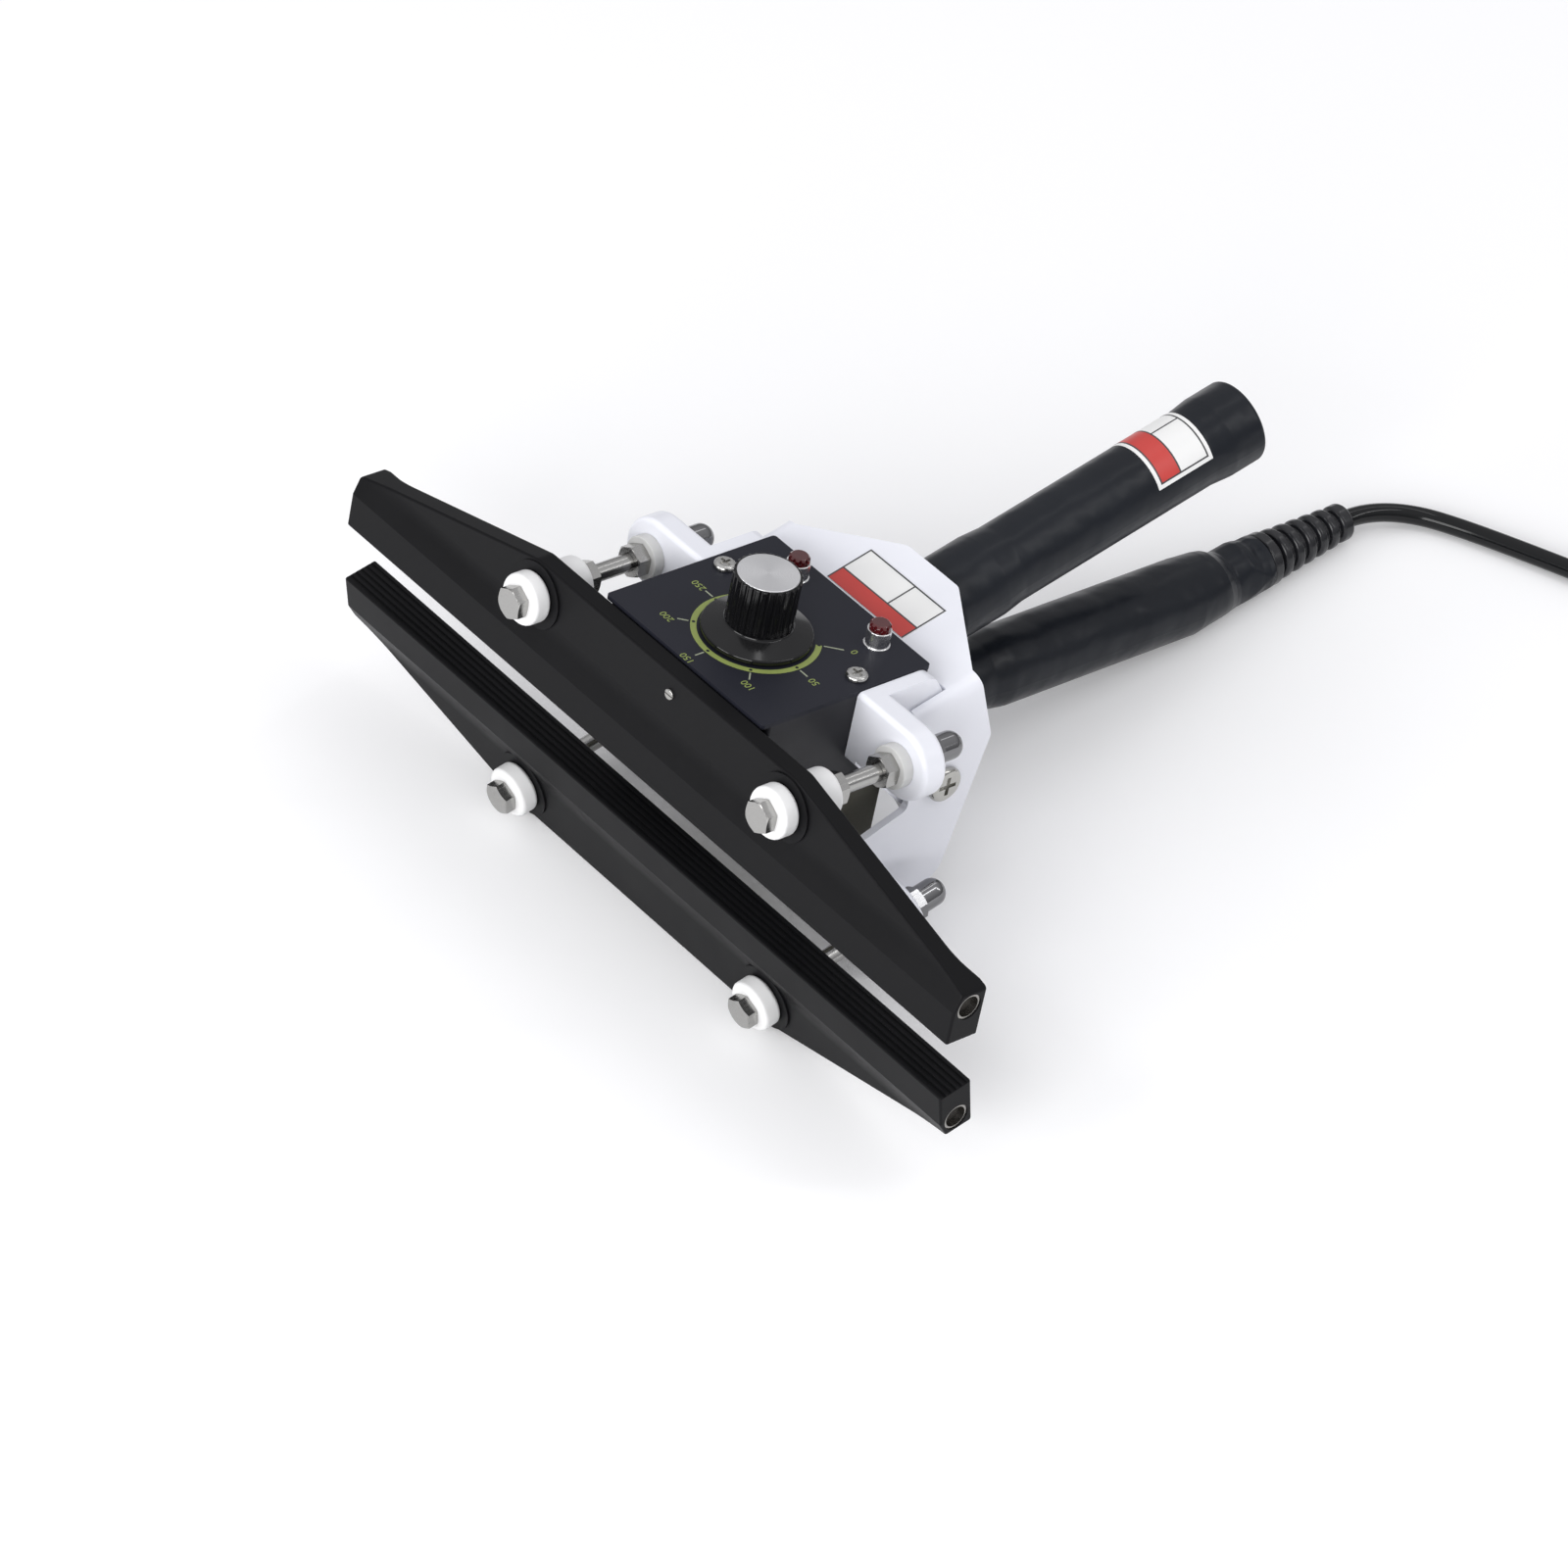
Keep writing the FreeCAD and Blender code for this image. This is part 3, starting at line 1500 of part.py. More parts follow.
os.makedirs("parts", exist_ok=True)
nodes = {"lower_grip": [lower_grip()]}
for name, shapes in control_lever_nodes().items():
    nodes[name] = [on_control_lever(shape) for shape in shapes]
for name, shapes in grip_lever_nodes().items():
    nodes[name] = [on_grip_lever(shape) for shape in shapes]
own = Part.makeCompound([shape for shapes in nodes.values() for shape in shapes])
bounds = own.optimalBoundingBox(False, False)
centring = Vector(0, -(bounds.YMin + bounds.YMax) / 2, 0)
nodes.update(cord_nodes())
for name, shapes in nodes.items():
    write(name, shapes, centring)

print("tilts: control lever %.5f, grip lever %.5f degrees" % (control_lever_tilt, grip_lever_tilt))
print("pivot at y %.4f, z %.4f" % (centring.y, pivot_height))
print("object without cord: size %.3f %.3f %.3f" % (bounds.XLength, bounds.YLength, bounds.ZLength))
print("lowest point without cord %.4f" % bounds.ZMin)
for point in lead_route() + tail_route():
    print("cord point %.2f %.2f %.2f" % (point[0], point[1] + centring.y, point[2]))
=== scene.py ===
import json
import math

import bmesh
import bpy
from mathutils import Matrix, Vector


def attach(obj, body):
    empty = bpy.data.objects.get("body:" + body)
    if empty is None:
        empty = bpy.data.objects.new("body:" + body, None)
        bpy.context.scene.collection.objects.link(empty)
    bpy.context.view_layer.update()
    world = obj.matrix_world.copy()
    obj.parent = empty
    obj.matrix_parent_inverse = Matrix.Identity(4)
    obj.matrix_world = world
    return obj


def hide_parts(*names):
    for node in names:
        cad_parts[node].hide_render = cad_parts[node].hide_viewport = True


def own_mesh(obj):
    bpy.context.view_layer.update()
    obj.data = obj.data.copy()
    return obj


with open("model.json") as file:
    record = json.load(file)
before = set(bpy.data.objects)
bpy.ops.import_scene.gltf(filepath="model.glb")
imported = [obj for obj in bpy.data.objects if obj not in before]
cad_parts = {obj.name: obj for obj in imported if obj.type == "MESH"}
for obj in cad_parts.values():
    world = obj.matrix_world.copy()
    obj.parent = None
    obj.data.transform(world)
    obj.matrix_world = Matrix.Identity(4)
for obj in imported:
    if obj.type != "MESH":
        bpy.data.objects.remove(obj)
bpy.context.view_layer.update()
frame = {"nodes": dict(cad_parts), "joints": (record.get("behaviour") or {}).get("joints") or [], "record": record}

scene = bpy.context.scene

# Studio: a plain pale floor, soft light from large panels and a pale surround.
# The camera stands in front of the jaws' right end, high up, with a long lens.

mm = 0.001
floor_half = 30.0
floor_drop = 0.05 * mm
floor_colour = (0.93, 0.93, 0.935)
floor_roughness = 0.9
floor_lift = 0.10
lamp_target = Vector((0, -0.03, 0.05))

floor_shape = bmesh.new()
bmesh.ops.create_grid(floor_shape, x_segments=1, y_segments=1, size=floor_half)
floor_mesh = bpy.data.meshes.new("floor")
floor_shape.to_mesh(floor_mesh)
floor_shape.free()
floor = bpy.data.objects.new("floor", floor_mesh)
floor.location.z = -floor_drop
scene.collection.objects.link(floor)

floor_paper = bpy.data.materials.new("floor_paper")
floor_paper.use_nodes = True
paper_nodes = floor_paper.node_tree.nodes
paper_links = floor_paper.node_tree.links
paper = paper_nodes["Principled BSDF"]
paper.inputs["Base Color"].default_value = (*floor_colour, 1)
paper.inputs["Roughness"].default_value = floor_roughness
paper.inputs["Emission Color"].default_value = (1, 1, 1, 1)
light_path = paper_nodes.new("ShaderNodeLightPath")
seen = paper_nodes.new("ShaderNodeMath")
seen.operation = "MAXIMUM"
paper_links.new(light_path.outputs["Is Camera Ray"], seen.inputs[0])
paper_links.new(light_path.outputs["Is Glossy Ray"], seen.inputs[1])
seen_all = paper_nodes.new("ShaderNodeMath")
seen_all.operation = "MAXIMUM"
paper_links.new(seen.outputs[0], seen_all.inputs[0])
paper_links.new(light_path.outputs["Is Transmission Ray"], seen_all.inputs[1])
glow = paper_nodes.new("ShaderNodeMath")
glow.operation = "MULTIPLY"
glow.inputs[1].default_value = floor_lift
paper_links.new(seen_all.outputs[0], glow.inputs[0])
paper_links.new(glow.outputs[0], paper.inputs["Emission Strength"])
floor_mesh.materials.append(floor_paper)

surround = bpy.data.worlds.new("surround")
surround.use_nodes = True
scene.world = surround
sky_nodes = surround.node_tree.nodes
sky_links = surround.node_tree.links
sky_place = sky_nodes.new("ShaderNodeTexCoord")
sky_split = sky_nodes.new("ShaderNodeSeparateXYZ")
sky_links.new(sky_place.outputs["Generated"], sky_split.inputs[0])
sky_ramp = sky_nodes.new("ShaderNodeValToRGB")
horizon, zenith = sky_ramp.color_ramp.elements
horizon.position = 0.0
horizon.color = (0.28, 0.28, 0.29, 1)
zenith.position = 0.85
zenith.color = (0.80, 0.80, 0.82, 1)
sky_links.new(sky_split.outputs["Z"], sky_ramp.inputs["Fac"])
sky_links.new(sky_ramp.outputs["Color"], sky_nodes["Background"].inputs["Color"])
sky_nodes["Background"].inputs["Strength"].default_value = 1.0


def soft_panel(name, place, width, height, power):
    light = bpy.data.lights.new(name, "AREA")
    light.shape = "RECTANGLE"
    light.size = width
    light.size_y = height
    light.energy = power
    lamp = bpy.data.objects.new(name, light)
    lamp.location = place
    aim = lamp_target - Vector(place)
    lamp.rotation_euler = aim.to_track_quat("-Z", "Y").to_euler()
    scene.collection.objects.link(lamp)


soft_panel("overhead_strip", (-0.25, 0.95, 1.55), width=0.10, height=1.4, power=1.2)
soft_panel("back_panel", (0.95, 0.85, 1.25), width=0.09, height=1.2, power=2.9)
soft_panel("low_panel", (-0.4, -1.9, 0.8), width=0.9, height=0.7, power=11.5)
soft_panel("front_panel", (0.9, -1.6, 0.95), width=1.2, height=1.0, power=20.0)

camera_place = Vector((1.33372, -1.24898, 1.69203))
camera_target = Vector((0.00244, -0.07077, 0.02808))
camera_roll = math.radians(2.914)
camera_lens = 174.71

camera_data = bpy.data.cameras.new("camera")
camera_data.sensor_width = 36.0
camera_data.lens = camera_lens
camera_data.clip_start = 0.1
camera_data.clip_end = 100.0
camera = bpy.data.objects.new("camera", camera_data)
look = (camera_target - camera_place).to_track_quat("-Z", "Y").to_matrix().to_4x4()
camera.matrix_world = Matrix.Translation(camera_place) @ look @ Matrix.Rotation(camera_roll, 4, "Z")
scene.collection.objects.link(camera)
scene.camera = camera
scene.view_settings.view_transform = "Standard"

# Jaws: two milled aluminium bars with ribbed feet, hard coated in satin black.
# The upper one is bolted to the control lever and the lower one to the grip lever.


def sockets(group, way, names):
    kinds = {"Vector": "NodeSocketVector", "Stretch": "NodeSocketVector", "Colour": "NodeSocketColor"}
    for name in names:
        kind = kinds.get(name, "NodeSocketFloat")
        group.interface.new_socket(name, in_out=way, socket_type=kind)


def spread_about(group, base, amount, noise):
    """base + amount * (2 noise - 1), as nodes."""
    swing = group.nodes.new("ShaderNodeMapRange")
    swing.inputs["To Min"].default_value = -1.0
    swing.inputs["To Max"].default_value = 1.0
    group.links.new(noise, swing.inputs["Value"])
    sum_up = group.nodes.new("ShaderNodeMath")
    sum_up.operation = "MULTIPLY_ADD"
    group.links.new(swing.outputs["Result"], sum_up.inputs[0])
    group.links.new(amount, sum_up.inputs[1])
    if isinstance(base, float):
        sum_up.inputs[2].default_value = base
    else:
        group.links.new(base, sum_up.inputs[2])
    return sum_up.outputs[0]


def noise_in(group, vector, scale, detail):
    noise = group.nodes.new("ShaderNodeTexNoise")
    noise.inputs["Detail"].default_value = detail
    group.links.new(vector, noise.inputs["Vector"])
    group.links.new(scale, noise.inputs["Scale"])
    return noise.outputs["Fac"]


def make_fine_grain():
    """Cloudy colour and gloss with a fine grain, for paint, plastic and rubber."""
    group = bpy.data.node_groups.new("fine_grain", "ShaderNodeTree")
    sockets(group, "INPUT", ("Vector", "Colour", "Colour Spread", "Grain Scale", "Cloud Scale"))
    sockets(group, "INPUT", ("Roughness", "Roughness Spread"))
    sockets(group, "OUTPUT", ("Colour", "Roughness", "Height"))
    given = group.nodes.new("NodeGroupInput").outputs
    result = group.nodes.new("NodeGroupOutput").inputs
    grain = noise_in(group, given["Vector"], given["Grain Scale"], detail=2.0)
    cloud = noise_in(group, given["Vector"], given["Cloud Scale"], detail=3.0)
    tint = group.nodes.new("ShaderNodeHueSaturation")
    group.links.new(given["Colour"], tint.inputs["Color"])
    group.links.new(spread_about(group, 1.0, given["Colour Spread"], cloud), tint.inputs["Value"])
    group.links.new(tint.outputs["Color"], result["Colour"])
    gloss = spread_about(group, given["Roughness"], given["Roughness Spread"], cloud)
    group.links.new(gloss, result["Roughness"])
    group.links.new(grain, result["Height"])
    return group


fine_grain = make_fine_grain()


def plain_finish(name, colour, roughness, metallic):
    material = bpy.data.materials.new(name)
    material.use_nodes = True
    shader = material.node_tree.nodes["Principled BSDF"]
    shader.inputs["Base Color"].default_value = (*colour, 1)
    shader.inputs["Roughness"].default_value = roughness
    shader.inputs["Metallic"].default_value = metallic
    return material, shader


def bumped(material, height, strength, depth):
    bump = material.node_tree.nodes.new("ShaderNodeBump")
    bump.inputs["Strength"].default_value = strength
    bump.inputs["Distance"].default_value = depth
    material.node_tree.links.new(height, bump.inputs["Height"])
    shader = material.node_tree.nodes["Principled BSDF"]
    material.node_tree.links.new(bump.outputs["Normal"], shader.inputs["Normal"])


def grained(name, colour, roughness, metallic=0.0, tint=0.1, gloss=0.08, grain=4000, cloud=80,
            bump=0.15, depth=0.05 * mm, shine=0.5):
    """A finish with cloudy colour and gloss and a fine bump; grain and cloud are spots per metre."""
    material, shader = plain_finish(name, colour, roughness, metallic)
    shader.inputs["Specular IOR Level"].default_value = shine
    tree = material.node_tree
    place = tree.nodes.new("ShaderNodeTexCoord")
    spots = tree.nodes.new("ShaderNodeGroup")
    spots.node_tree = fine_grain
    spots.inputs["Colour"].default_value = (*colour, 1)
    spots.inputs["Colour Spread"].default_value = tint
    spots.inputs["Grain Scale"].default_value = grain
    spots.inputs["Cloud Scale"].default_value = cloud
    spots.inputs["Roughness"].default_value = roughness
    spots.inputs["Roughness Spread"].default_value = gloss
    tree.links.new(place.outputs["Object"], spots.inputs["Vector"])
    tree.links.new(spots.outputs["Colour"], shader.inputs["Base Color"])
    tree.links.new(spots.outputs["Roughness"], shader.inputs["Roughness"])
    bumped(material, spots.outputs["Height"], bump, depth)
    return material, shader


def dress(material, *nodes):
    for node in nodes:
        finishes = frame["nodes"][node].data.materials
        finishes.clear()
        finishes.append(material)


jaw_black, _ = grained("jaw_black", (0.0060, 0.0060, 0.0068), 0.44, tint=0.25, grain=3500, cloud=45,
                       bump=0.12, shine=0.10)
dress(jaw_black, "upper_jaw", "lower_jaw")

# Heater rods: ceramic cores in bright steel sheaths, slid into the bores along both jaws.
# Two sleeved leads leave the upper one through the jaw's back into the control box.


def make_drawn_lines():
    """Gloss and height in long thin lines, as drawing, turning or brushing leaves them."""
    group = bpy.data.node_groups.new("drawn_lines", "ShaderNodeTree")
    sockets(group, "INPUT", ("Vector", "Stretch", "Line Scale", "Roughness", "Roughness Spread"))
    sockets(group, "OUTPUT", ("Roughness", "Height"))
    given = group.nodes.new("NodeGroupInput").outputs
    result = group.nodes.new("NodeGroupOutput").inputs
    long_way = group.nodes.new("ShaderNodeVectorMath")
    long_way.operation = "MULTIPLY"
    group.links.new(given["Vector"], long_way.inputs[0])
    group.links.new(given["Stretch"], long_way.inputs[1])
    lines = noise_in(group, long_way.outputs[0], given["Line Scale"], detail=3.0)
    gloss = spread_about(group, given["Roughness"], given["Roughness Spread"], lines)
    group.links.new(gloss, result["Roughness"])
    group.links.new(lines, result["Height"])
    return group


drawn_lines = make_drawn_lines()


def drawn(name, colour, roughness, stretch, metallic=1.0, gloss=0.08, lines=1500, bump=0.08,
          depth=0.03 * mm, turn=(0, 0, 0)):
    """A metal with lines along the axis whose stretch is small; turn aligns the lines with the piece."""
    material, shader = plain_finish(name, colour, roughness, metallic)
    tree = material.node_tree
    place = tree.nodes.new("ShaderNodeTexCoord")
    aligned = tree.nodes.new("ShaderNodeMapping")
    aligned.inputs["Rotation"].default_value = turn
    tree.links.new(place.outputs["Object"], aligned.inputs["Vector"])
    marks = tree.nodes.new("ShaderNodeGroup")
    marks.node_tree = drawn_lines
    marks.inputs["Stretch"].default_value = stretch
    marks.inputs["Line Scale"].default_value = lines
    marks.inputs["Roughness"].default_value = roughness
    marks.inputs["Roughness Spread"].default_value = gloss
    tree.links.new(aligned.outputs["Vector"], marks.inputs["Vector"])
    tree.links.new(marks.outputs["Roughness"], shader.inputs["Roughness"])
    bumped(material, marks.outputs["Height"], bump, depth)
    return material, shader


sheath_steel, _ = drawn("sheath_steel", (0.30, 0.29, 0.275), 0.26, (0.05, 1, 1))
dress(sheath_steel, "upper_heater_sheath", "lower_heater_sheath")
core_ceramic, _ = grained("core_ceramic", (0.030, 0.027, 0.023), 0.6, tint=0.3, grain=2500, cloud=300,
                          bump=0.4)
dress(core_ceramic, "upper_heater_core", "lower_heater_core")
lead_glass, _ = grained("lead_glass_sleeve", (0.66, 0.63, 0.56), 0.75, tint=0.12, grain=3000, bump=0.5)
dress(lead_glass, "upper_heater_leads")

# Jaw bolts: stainless hexagon bolts through each jaw into the ears of its lever.
# White plastic bushes seat them in the jaw, and nuts, grey washers and dome nuts hold them.

squeeze = next(joint for joint in frame["joints"] if joint["name"] == "squeeze")
dial_turn = next(joint for joint in frame["joints"] if joint["name"] == "dial_turn")
rest_edge = frame["record"]["mounts"][0]
pivot = Vector(squeeze["pos_m"])
control_up = Vector(dial_turn["axis"])
grip_up = -Vector(rest_edge["axis"])
up = Vector((0, 0, 1))
control_lever = Matrix.Translation(pivot) @ up.rotation_difference(control_up).to_matrix().to_4x4()
grip_lever = Matrix.Translation(pivot) @ up.rotation_difference(grip_up).to_matrix().to_4x4()
control_tilt = -up.angle(control_up)
grip_tilt = up.angle(grip_up)

bolt_steel_colour = (0.40, 0.396, 0.385)
dome_chrome_colour = (0.21, 0.21, 0.215)
along_y = (1, 0.04, 1)
for level, tilt in (("upper_", control_tilt), ("lower_", grip_tilt)):
    level_turn = (-tilt, 0, 0)
    bolt_steel, _ = drawn(level + "bolt_steel", bolt_steel_colour, 0.25, along_y, turn=level_turn)
    dress(bolt_steel, level + "jaw_bolts", level + "jaw_nuts", level + "ear_nuts")
    dome_chrome, _ = drawn(level + "dome_chrome", dome_chrome_colour, 0.11, along_y, gloss=0.05,
                           turn=level_turn)
    dress(dome_chrome, level + "dome_nuts")

bush_white, _ = grained("bush_white", (0.87, 0.87, 0.868), 0.42, tint=0.02, grain=1800, cloud=200,
                        bump=0.08)
for level in ("upper_", "lower_"):
    dress(bush_white, level + "front_bushes", level + "rear_bushes")
washer_grey, _ = grained("washer_grey", (0.62, 0.62, 0.61), 0.45, tint=0.05, grain=1500, cloud=200,
                         bump=0.1)
dress(washer_grey, "upper_ear_washers", "lower_ear_washers")
sensor_steel, _ = drawn("sensor_steel", (0.42, 0.415, 0.40), 0.24, along_y, turn=(-control_tilt, 0, 0))
dress(sensor_steel, "sensor_screw")

# Yokes: the inner one carries the control box and the lower handle, the outer one the upper handle.
# The inner one is a casting and the outer one folded plate with ears; both are powder coated white.

yoke_white, yoke_shader = grained("yoke_white", (0.862, 0.872, 0.93), 0.34, tint=0.012, gloss=0.05,
                                  grain=900, cloud=40, bump=0.06, depth=0.12 * mm)
yoke_shader.inputs["Coat Weight"].default_value = 0.25
yoke_shader.inputs["Coat Roughness"].default_value = 0.18
dress(yoke_white, "inner_yoke", "outer_yoke")

pivot_steel, _ = drawn("pivot_steel", (0.47, 0.465, 0.44), 0.20, (0.04, 1, 1))
dress(pivot_steel, "pivot_screws", "pivot_nuts", "pivot_washers")

# Control box: a black case with a flat dark panel on top and a plated tray below.
# Two cross-head screws hold the panel to posts in the case.

panel_slate, _ = grained("panel_slate", (0.015, 0.016, 0.024), 0.48, tint=0.14, gloss=0.06, grain=2600,
                         cloud=60, bump=0.16, shine=0.22)
dress(panel_slate, "control_panel")
case_black, _ = grained("case_black", (0.015, 0.015, 0.019), 0.46, tint=0.12, grain=2600, cloud=60,
                        bump=0.16, shine=0.3)
dress(case_black, "control_case")
tray_zinc, _ = drawn("tray_zinc", (0.16, 0.155, 0.125), 0.42, (0.06, 1, 1), metallic=0.85, gloss=0.12,
                     lines=900)
dress(tray_zinc, "chassis_tray")
screw_nickel, _ = grained("screw_nickel", (0.52, 0.515, 0.50), 0.22, metallic=1.0, tint=0.08, cloud=500,
                          bump=0.05)
dress(screw_nickel, "panel_screws")

# Control electronics: a green board on brass posts in the tray.
# It holds a terminal block, a heat sink and the switching part that drives the heater.

board_green, _ = grained("board_green", (0.03, 0.16, 0.06), 0.35, tint=0.15, cloud=400)
dress(board_green, "circuit_board")
post_brass, _ = drawn("post_brass", (0.70, 0.55, 0.25), 0.28, (1, 1, 0.05))
dress(post_brass, "board_standoffs")
block_green, _ = grained("block_green", (0.05, 0.25, 0.12), 0.45, tint=0.08)
dress(block_green, "terminal_block")
sink_aluminium, _ = drawn("sink_aluminium", (0.60, 0.60, 0.61), 0.38, (1, 1, 0.05))
dress(sink_aluminium, "heat_sink")
moulded_black, _ = grained("moulded_black", (0.020, 0.020, 0.021), 0.5)
dress(moulded_black, "triac", "potentiometer")

# Dial: a fluted gloss black knob with a spun aluminium cap on the shaft of a potentiometer.
# Round it a yellow-green ring with ticks and plain figures is printed on the panel.

dial_place = Vector(dial_turn["pos_m"])
dress(pivot_steel, "potentiometer_nut", "potentiometer_shaft")

knob_gloss, knob_shader = grained("knob_gloss", (0.004, 0.004, 0.0045), 0.13, gloss=0.05, grain=1500,
                                  cloud=150, bump=0.03, shine=0.32)
knob_shader.inputs["Coat Weight"].default_value = 0.15
knob_shader.inputs["Coat Roughness"].default_value = 0.08
dress(knob_gloss, "dial_knob")

cap_ring_scale = 700
cap_ring_wobble = 0.6
cap_ring_strength = 0.35
cap_ring_depth = 0.03 * mm
cap_gloss_range = (0.24, 0.36)
cap_aluminium, cap_shader = plain_finish("cap_aluminium", (0.80, 0.80, 0.81), 0.30, 1.0)
cap_tree = cap_aluminium.node_tree
cap_coords = cap_tree.nodes.new("ShaderNodeTexCoord")
cap_centre = cap_tree.nodes.new("ShaderNodeMapping")
cap_centre.vector_type = "TEXTURE"
cap_centre.inputs["Location"].default_value = dial_place
cap_centre.inputs["Rotation"].default_value = (control_tilt, 0, 0)
cap_tree.links.new(cap_coords.outputs["Object"], cap_centre.inputs["Vector"])
cap_rings = cap_tree.nodes.new("ShaderNodeTexWave")
cap_rings.wave_type = "RINGS"
cap_rings.rings_direction = "Z"
cap_rings.inputs["Scale"].default_value = cap_ring_scale
cap_rings.inputs["Distortion"].default_value = cap_ring_wobble
cap_tree.links.new(cap_centre.outputs["Vector"], cap_rings.inputs["Vector"])
cap_gloss = cap_tree.nodes.new("ShaderNodeMapRange")
cap_gloss.inputs["To Min"].default_value = cap_gloss_range[0]
cap_gloss.inputs["To Max"].default_value = cap_gloss_range[1]
cap_tree.links.new(cap_rings.outputs["Fac"], cap_gloss.inputs["Value"])
cap_tree.links.new(cap_gloss.outputs["Result"], cap_shader.inputs["Roughness"])
bumped(cap_aluminium, cap_rings.outputs["Fac"], cap_ring_strength, cap_ring_depth)
cap_shader.inputs["Anisotropic"].default_value = 0.75
cap_turning = cap_tree.nodes.new("ShaderNodeTangent")
cap_turning.direction_type = "RADIAL"
cap_turning.axis = "Z"
cap_tree.links.new(cap_turning.outputs["Tangent"], cap_shader.inputs["Tangent"])
dress(cap_aluminium, "knob_cap")

panel_top = 42.2 * mm
knob_y = -46.6 * mm
ring_inner = 19.0 * mm
ring_outer = 21.0 * mm
ring_start = math.radians(45)
ring_sweep = math.radians(-270)
ring_steps = 90
print_lift = 0.01 * mm
print_depth = 0.04 * mm
first_layer = print_lift + print_depth / 2
second_layer = print_lift + 1.5 * print_depth
mark_count = 7
mark_step = 50
tick_start = 21.6 * mm
tick_end = 25.2 * mm
tick_width = 0.5 * mm
first_tick_end = 28.0 * mm
figure_radius = 28.4 * mm
first_figure_gap = 3.0 * mm
figure_size = 3.6 * mm
dot_radius = 0.55 * mm
dot_sides = 20


def new_piece(name, shape, material, body):
    """Makes a mesh object of a bmesh that is already in its place, and lets it move with a body."""
    mesh = bpy.data.meshes.new(name)
    shape.to_mesh(mesh)
    shape.free()
    mesh.materials.append(material)
    piece = bpy.data.objects.new(name, mesh)
    scene.collection.objects.link(piece)
    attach(piece, body)
    return piece


def brick(shape, centre, size, turn=0.0):
    """Adds a closed box to a bmesh, turned about Z."""
    place = Matrix.Translation(centre) @ Matrix.Rotation(turn, 4, "Z") @ Matrix.Diagonal((*size, 1))
    bmesh.ops.create_cube(shape, size=1.0, matrix=place)


def on_dial(angle, radius, lift):
    return Vector((radius * math.cos(angle), knob_y + radius * math.sin(angle), panel_top + lift))


ring_shape = bmesh.new()
ring_corners = [(ring_inner, 0), (ring_outer, 0), (ring_outer, print_depth), (ring_inner, print_depth)]
ring_section = [ring_shape.verts.new(on_dial(ring_start, r, print_lift + h)) for r, h in ring_corners]
ring_face = ring_shape.faces.new(ring_section)
bmesh.ops.spin(ring_shape, geom=[ring_face, *ring_face.edges, *ring_face.verts], cent=(0, knob_y, 0),
               axis=(0, 0, 1), angle=ring_sweep, steps=ring_steps)
bmesh.ops.recalc_face_normals(ring_shape, faces=ring_shape.faces)
ring_shape.transform(control_lever)
print_green, _ = grained("print_green", (0.265, 0.325, 0.085), 0.5, tint=0.12, grain=3000, cloud=250,
                         bump=0.1)
new_piece("dial_ring", ring_shape, print_green, "control_lever")

tick_shape = bmesh.new()
dot_shape = bmesh.new()
figure_shape = bmesh.new()
for mark in range(mark_count):
    angle = ring_start + ring_sweep * mark / (mark_count - 1)
    end = first_tick_end if mark == 0 else tick_end
    middle = on_dial(angle, (tick_start + end) / 2, first_layer)
    brick(tick_shape, middle, (end - tick_start, tick_width, print_depth), angle)
    dot_place = on_dial(angle, (ring_inner + ring_outer) / 2, second_layer)
    bmesh.ops.create_cone(dot_shape, cap_ends=True, segments=dot_sides, radius1=dot_radius,
                          radius2=dot_radius, depth=print_depth, matrix=Matrix.Translation(dot_place))
    letters = bpy.data.curves.new("figures", "FONT")
    letters.body = str(mark_step * mark)
    letters.size = figure_size
    letters.align_x = "CENTER"
    letters.align_y = "CENTER"
    letters.extrude = print_depth / 2
    holder = bpy.data.objects.new("figures", letters)
    flat = bpy.data.meshes.new_from_object(holder)
    away = figure_radius + (first_figure_gap if mark == 0 else 0)
    upright = Matrix.Rotation(math.pi, 4, "Z")
    flat.transform(Matrix.Translation(on_dial(angle, away, first_layer)) @ upright)
    figure_shape.from_mesh(flat)
    bpy.data.objects.remove(holder)
    bpy.data.curves.remove(letters)
    bpy.data.meshes.remove(flat)
for shape in (tick_shape, dot_shape, figure_shape):
    shape.transform(control_lever)
print_grey, _ = grained("print_grey", (0.33, 0.36, 0.26), 0.5, grain=3000, cloud=250, bump=0.1)
new_piece("dial_ticks", tick_shape, print_grey, "control_lever")
dial_dots = new_piece("dial_dots", dot_shape, panel_slate, "control_lever")
new_piece("dial_figures", figure_shape, print_green, "control_lever")

# Signal lamps: dark red lenses in chromed bezels, one each side behind the dial.
# They are pressed into holes in the panel, and the ribbed lenses snap into the bezels.

lamp_chrome, _ = grained("lamp_chrome", (0.86, 0.86, 0.86), 0.26, metallic=1.0, tint=0.04, gloss=0.06,
                         cloud=300, bump=0.02)
dress(lamp_chrome, "lamp_bezels")
lamp_red, lamp_shader = grained("lamp_red", (0.075, 0.004, 0.006), 0.12, tint=0.2, gloss=0.04, cloud=300,
                                bump=0.02)
lamp_shader.inputs["Coat Weight"].default_value = 0.6
lamp_shader.inputs["Coat Roughness"].default_value = 0.05
dress(lamp_red, "lamp_lenses")

# Return spring: a small compression spring between the inner yoke's pad and the upper handle tube.
# It is wound from steel wire and shortens as the grips close; here the coil is fixed to the control lever and
# keeps its length.

spring_steel, _ = drawn("spring_steel", (0.42, 0.42, 0.43), 0.3, (1, 1, 0.2))
wire_radius = 0.5 * mm
spring_radius = 3.4 * mm
spring_y = 32.0 * mm
spring_base = 4.3 * mm
spring_top = 14.76 * mm
spring_turns = 3
spring_steps = 40
wire_sides = 10

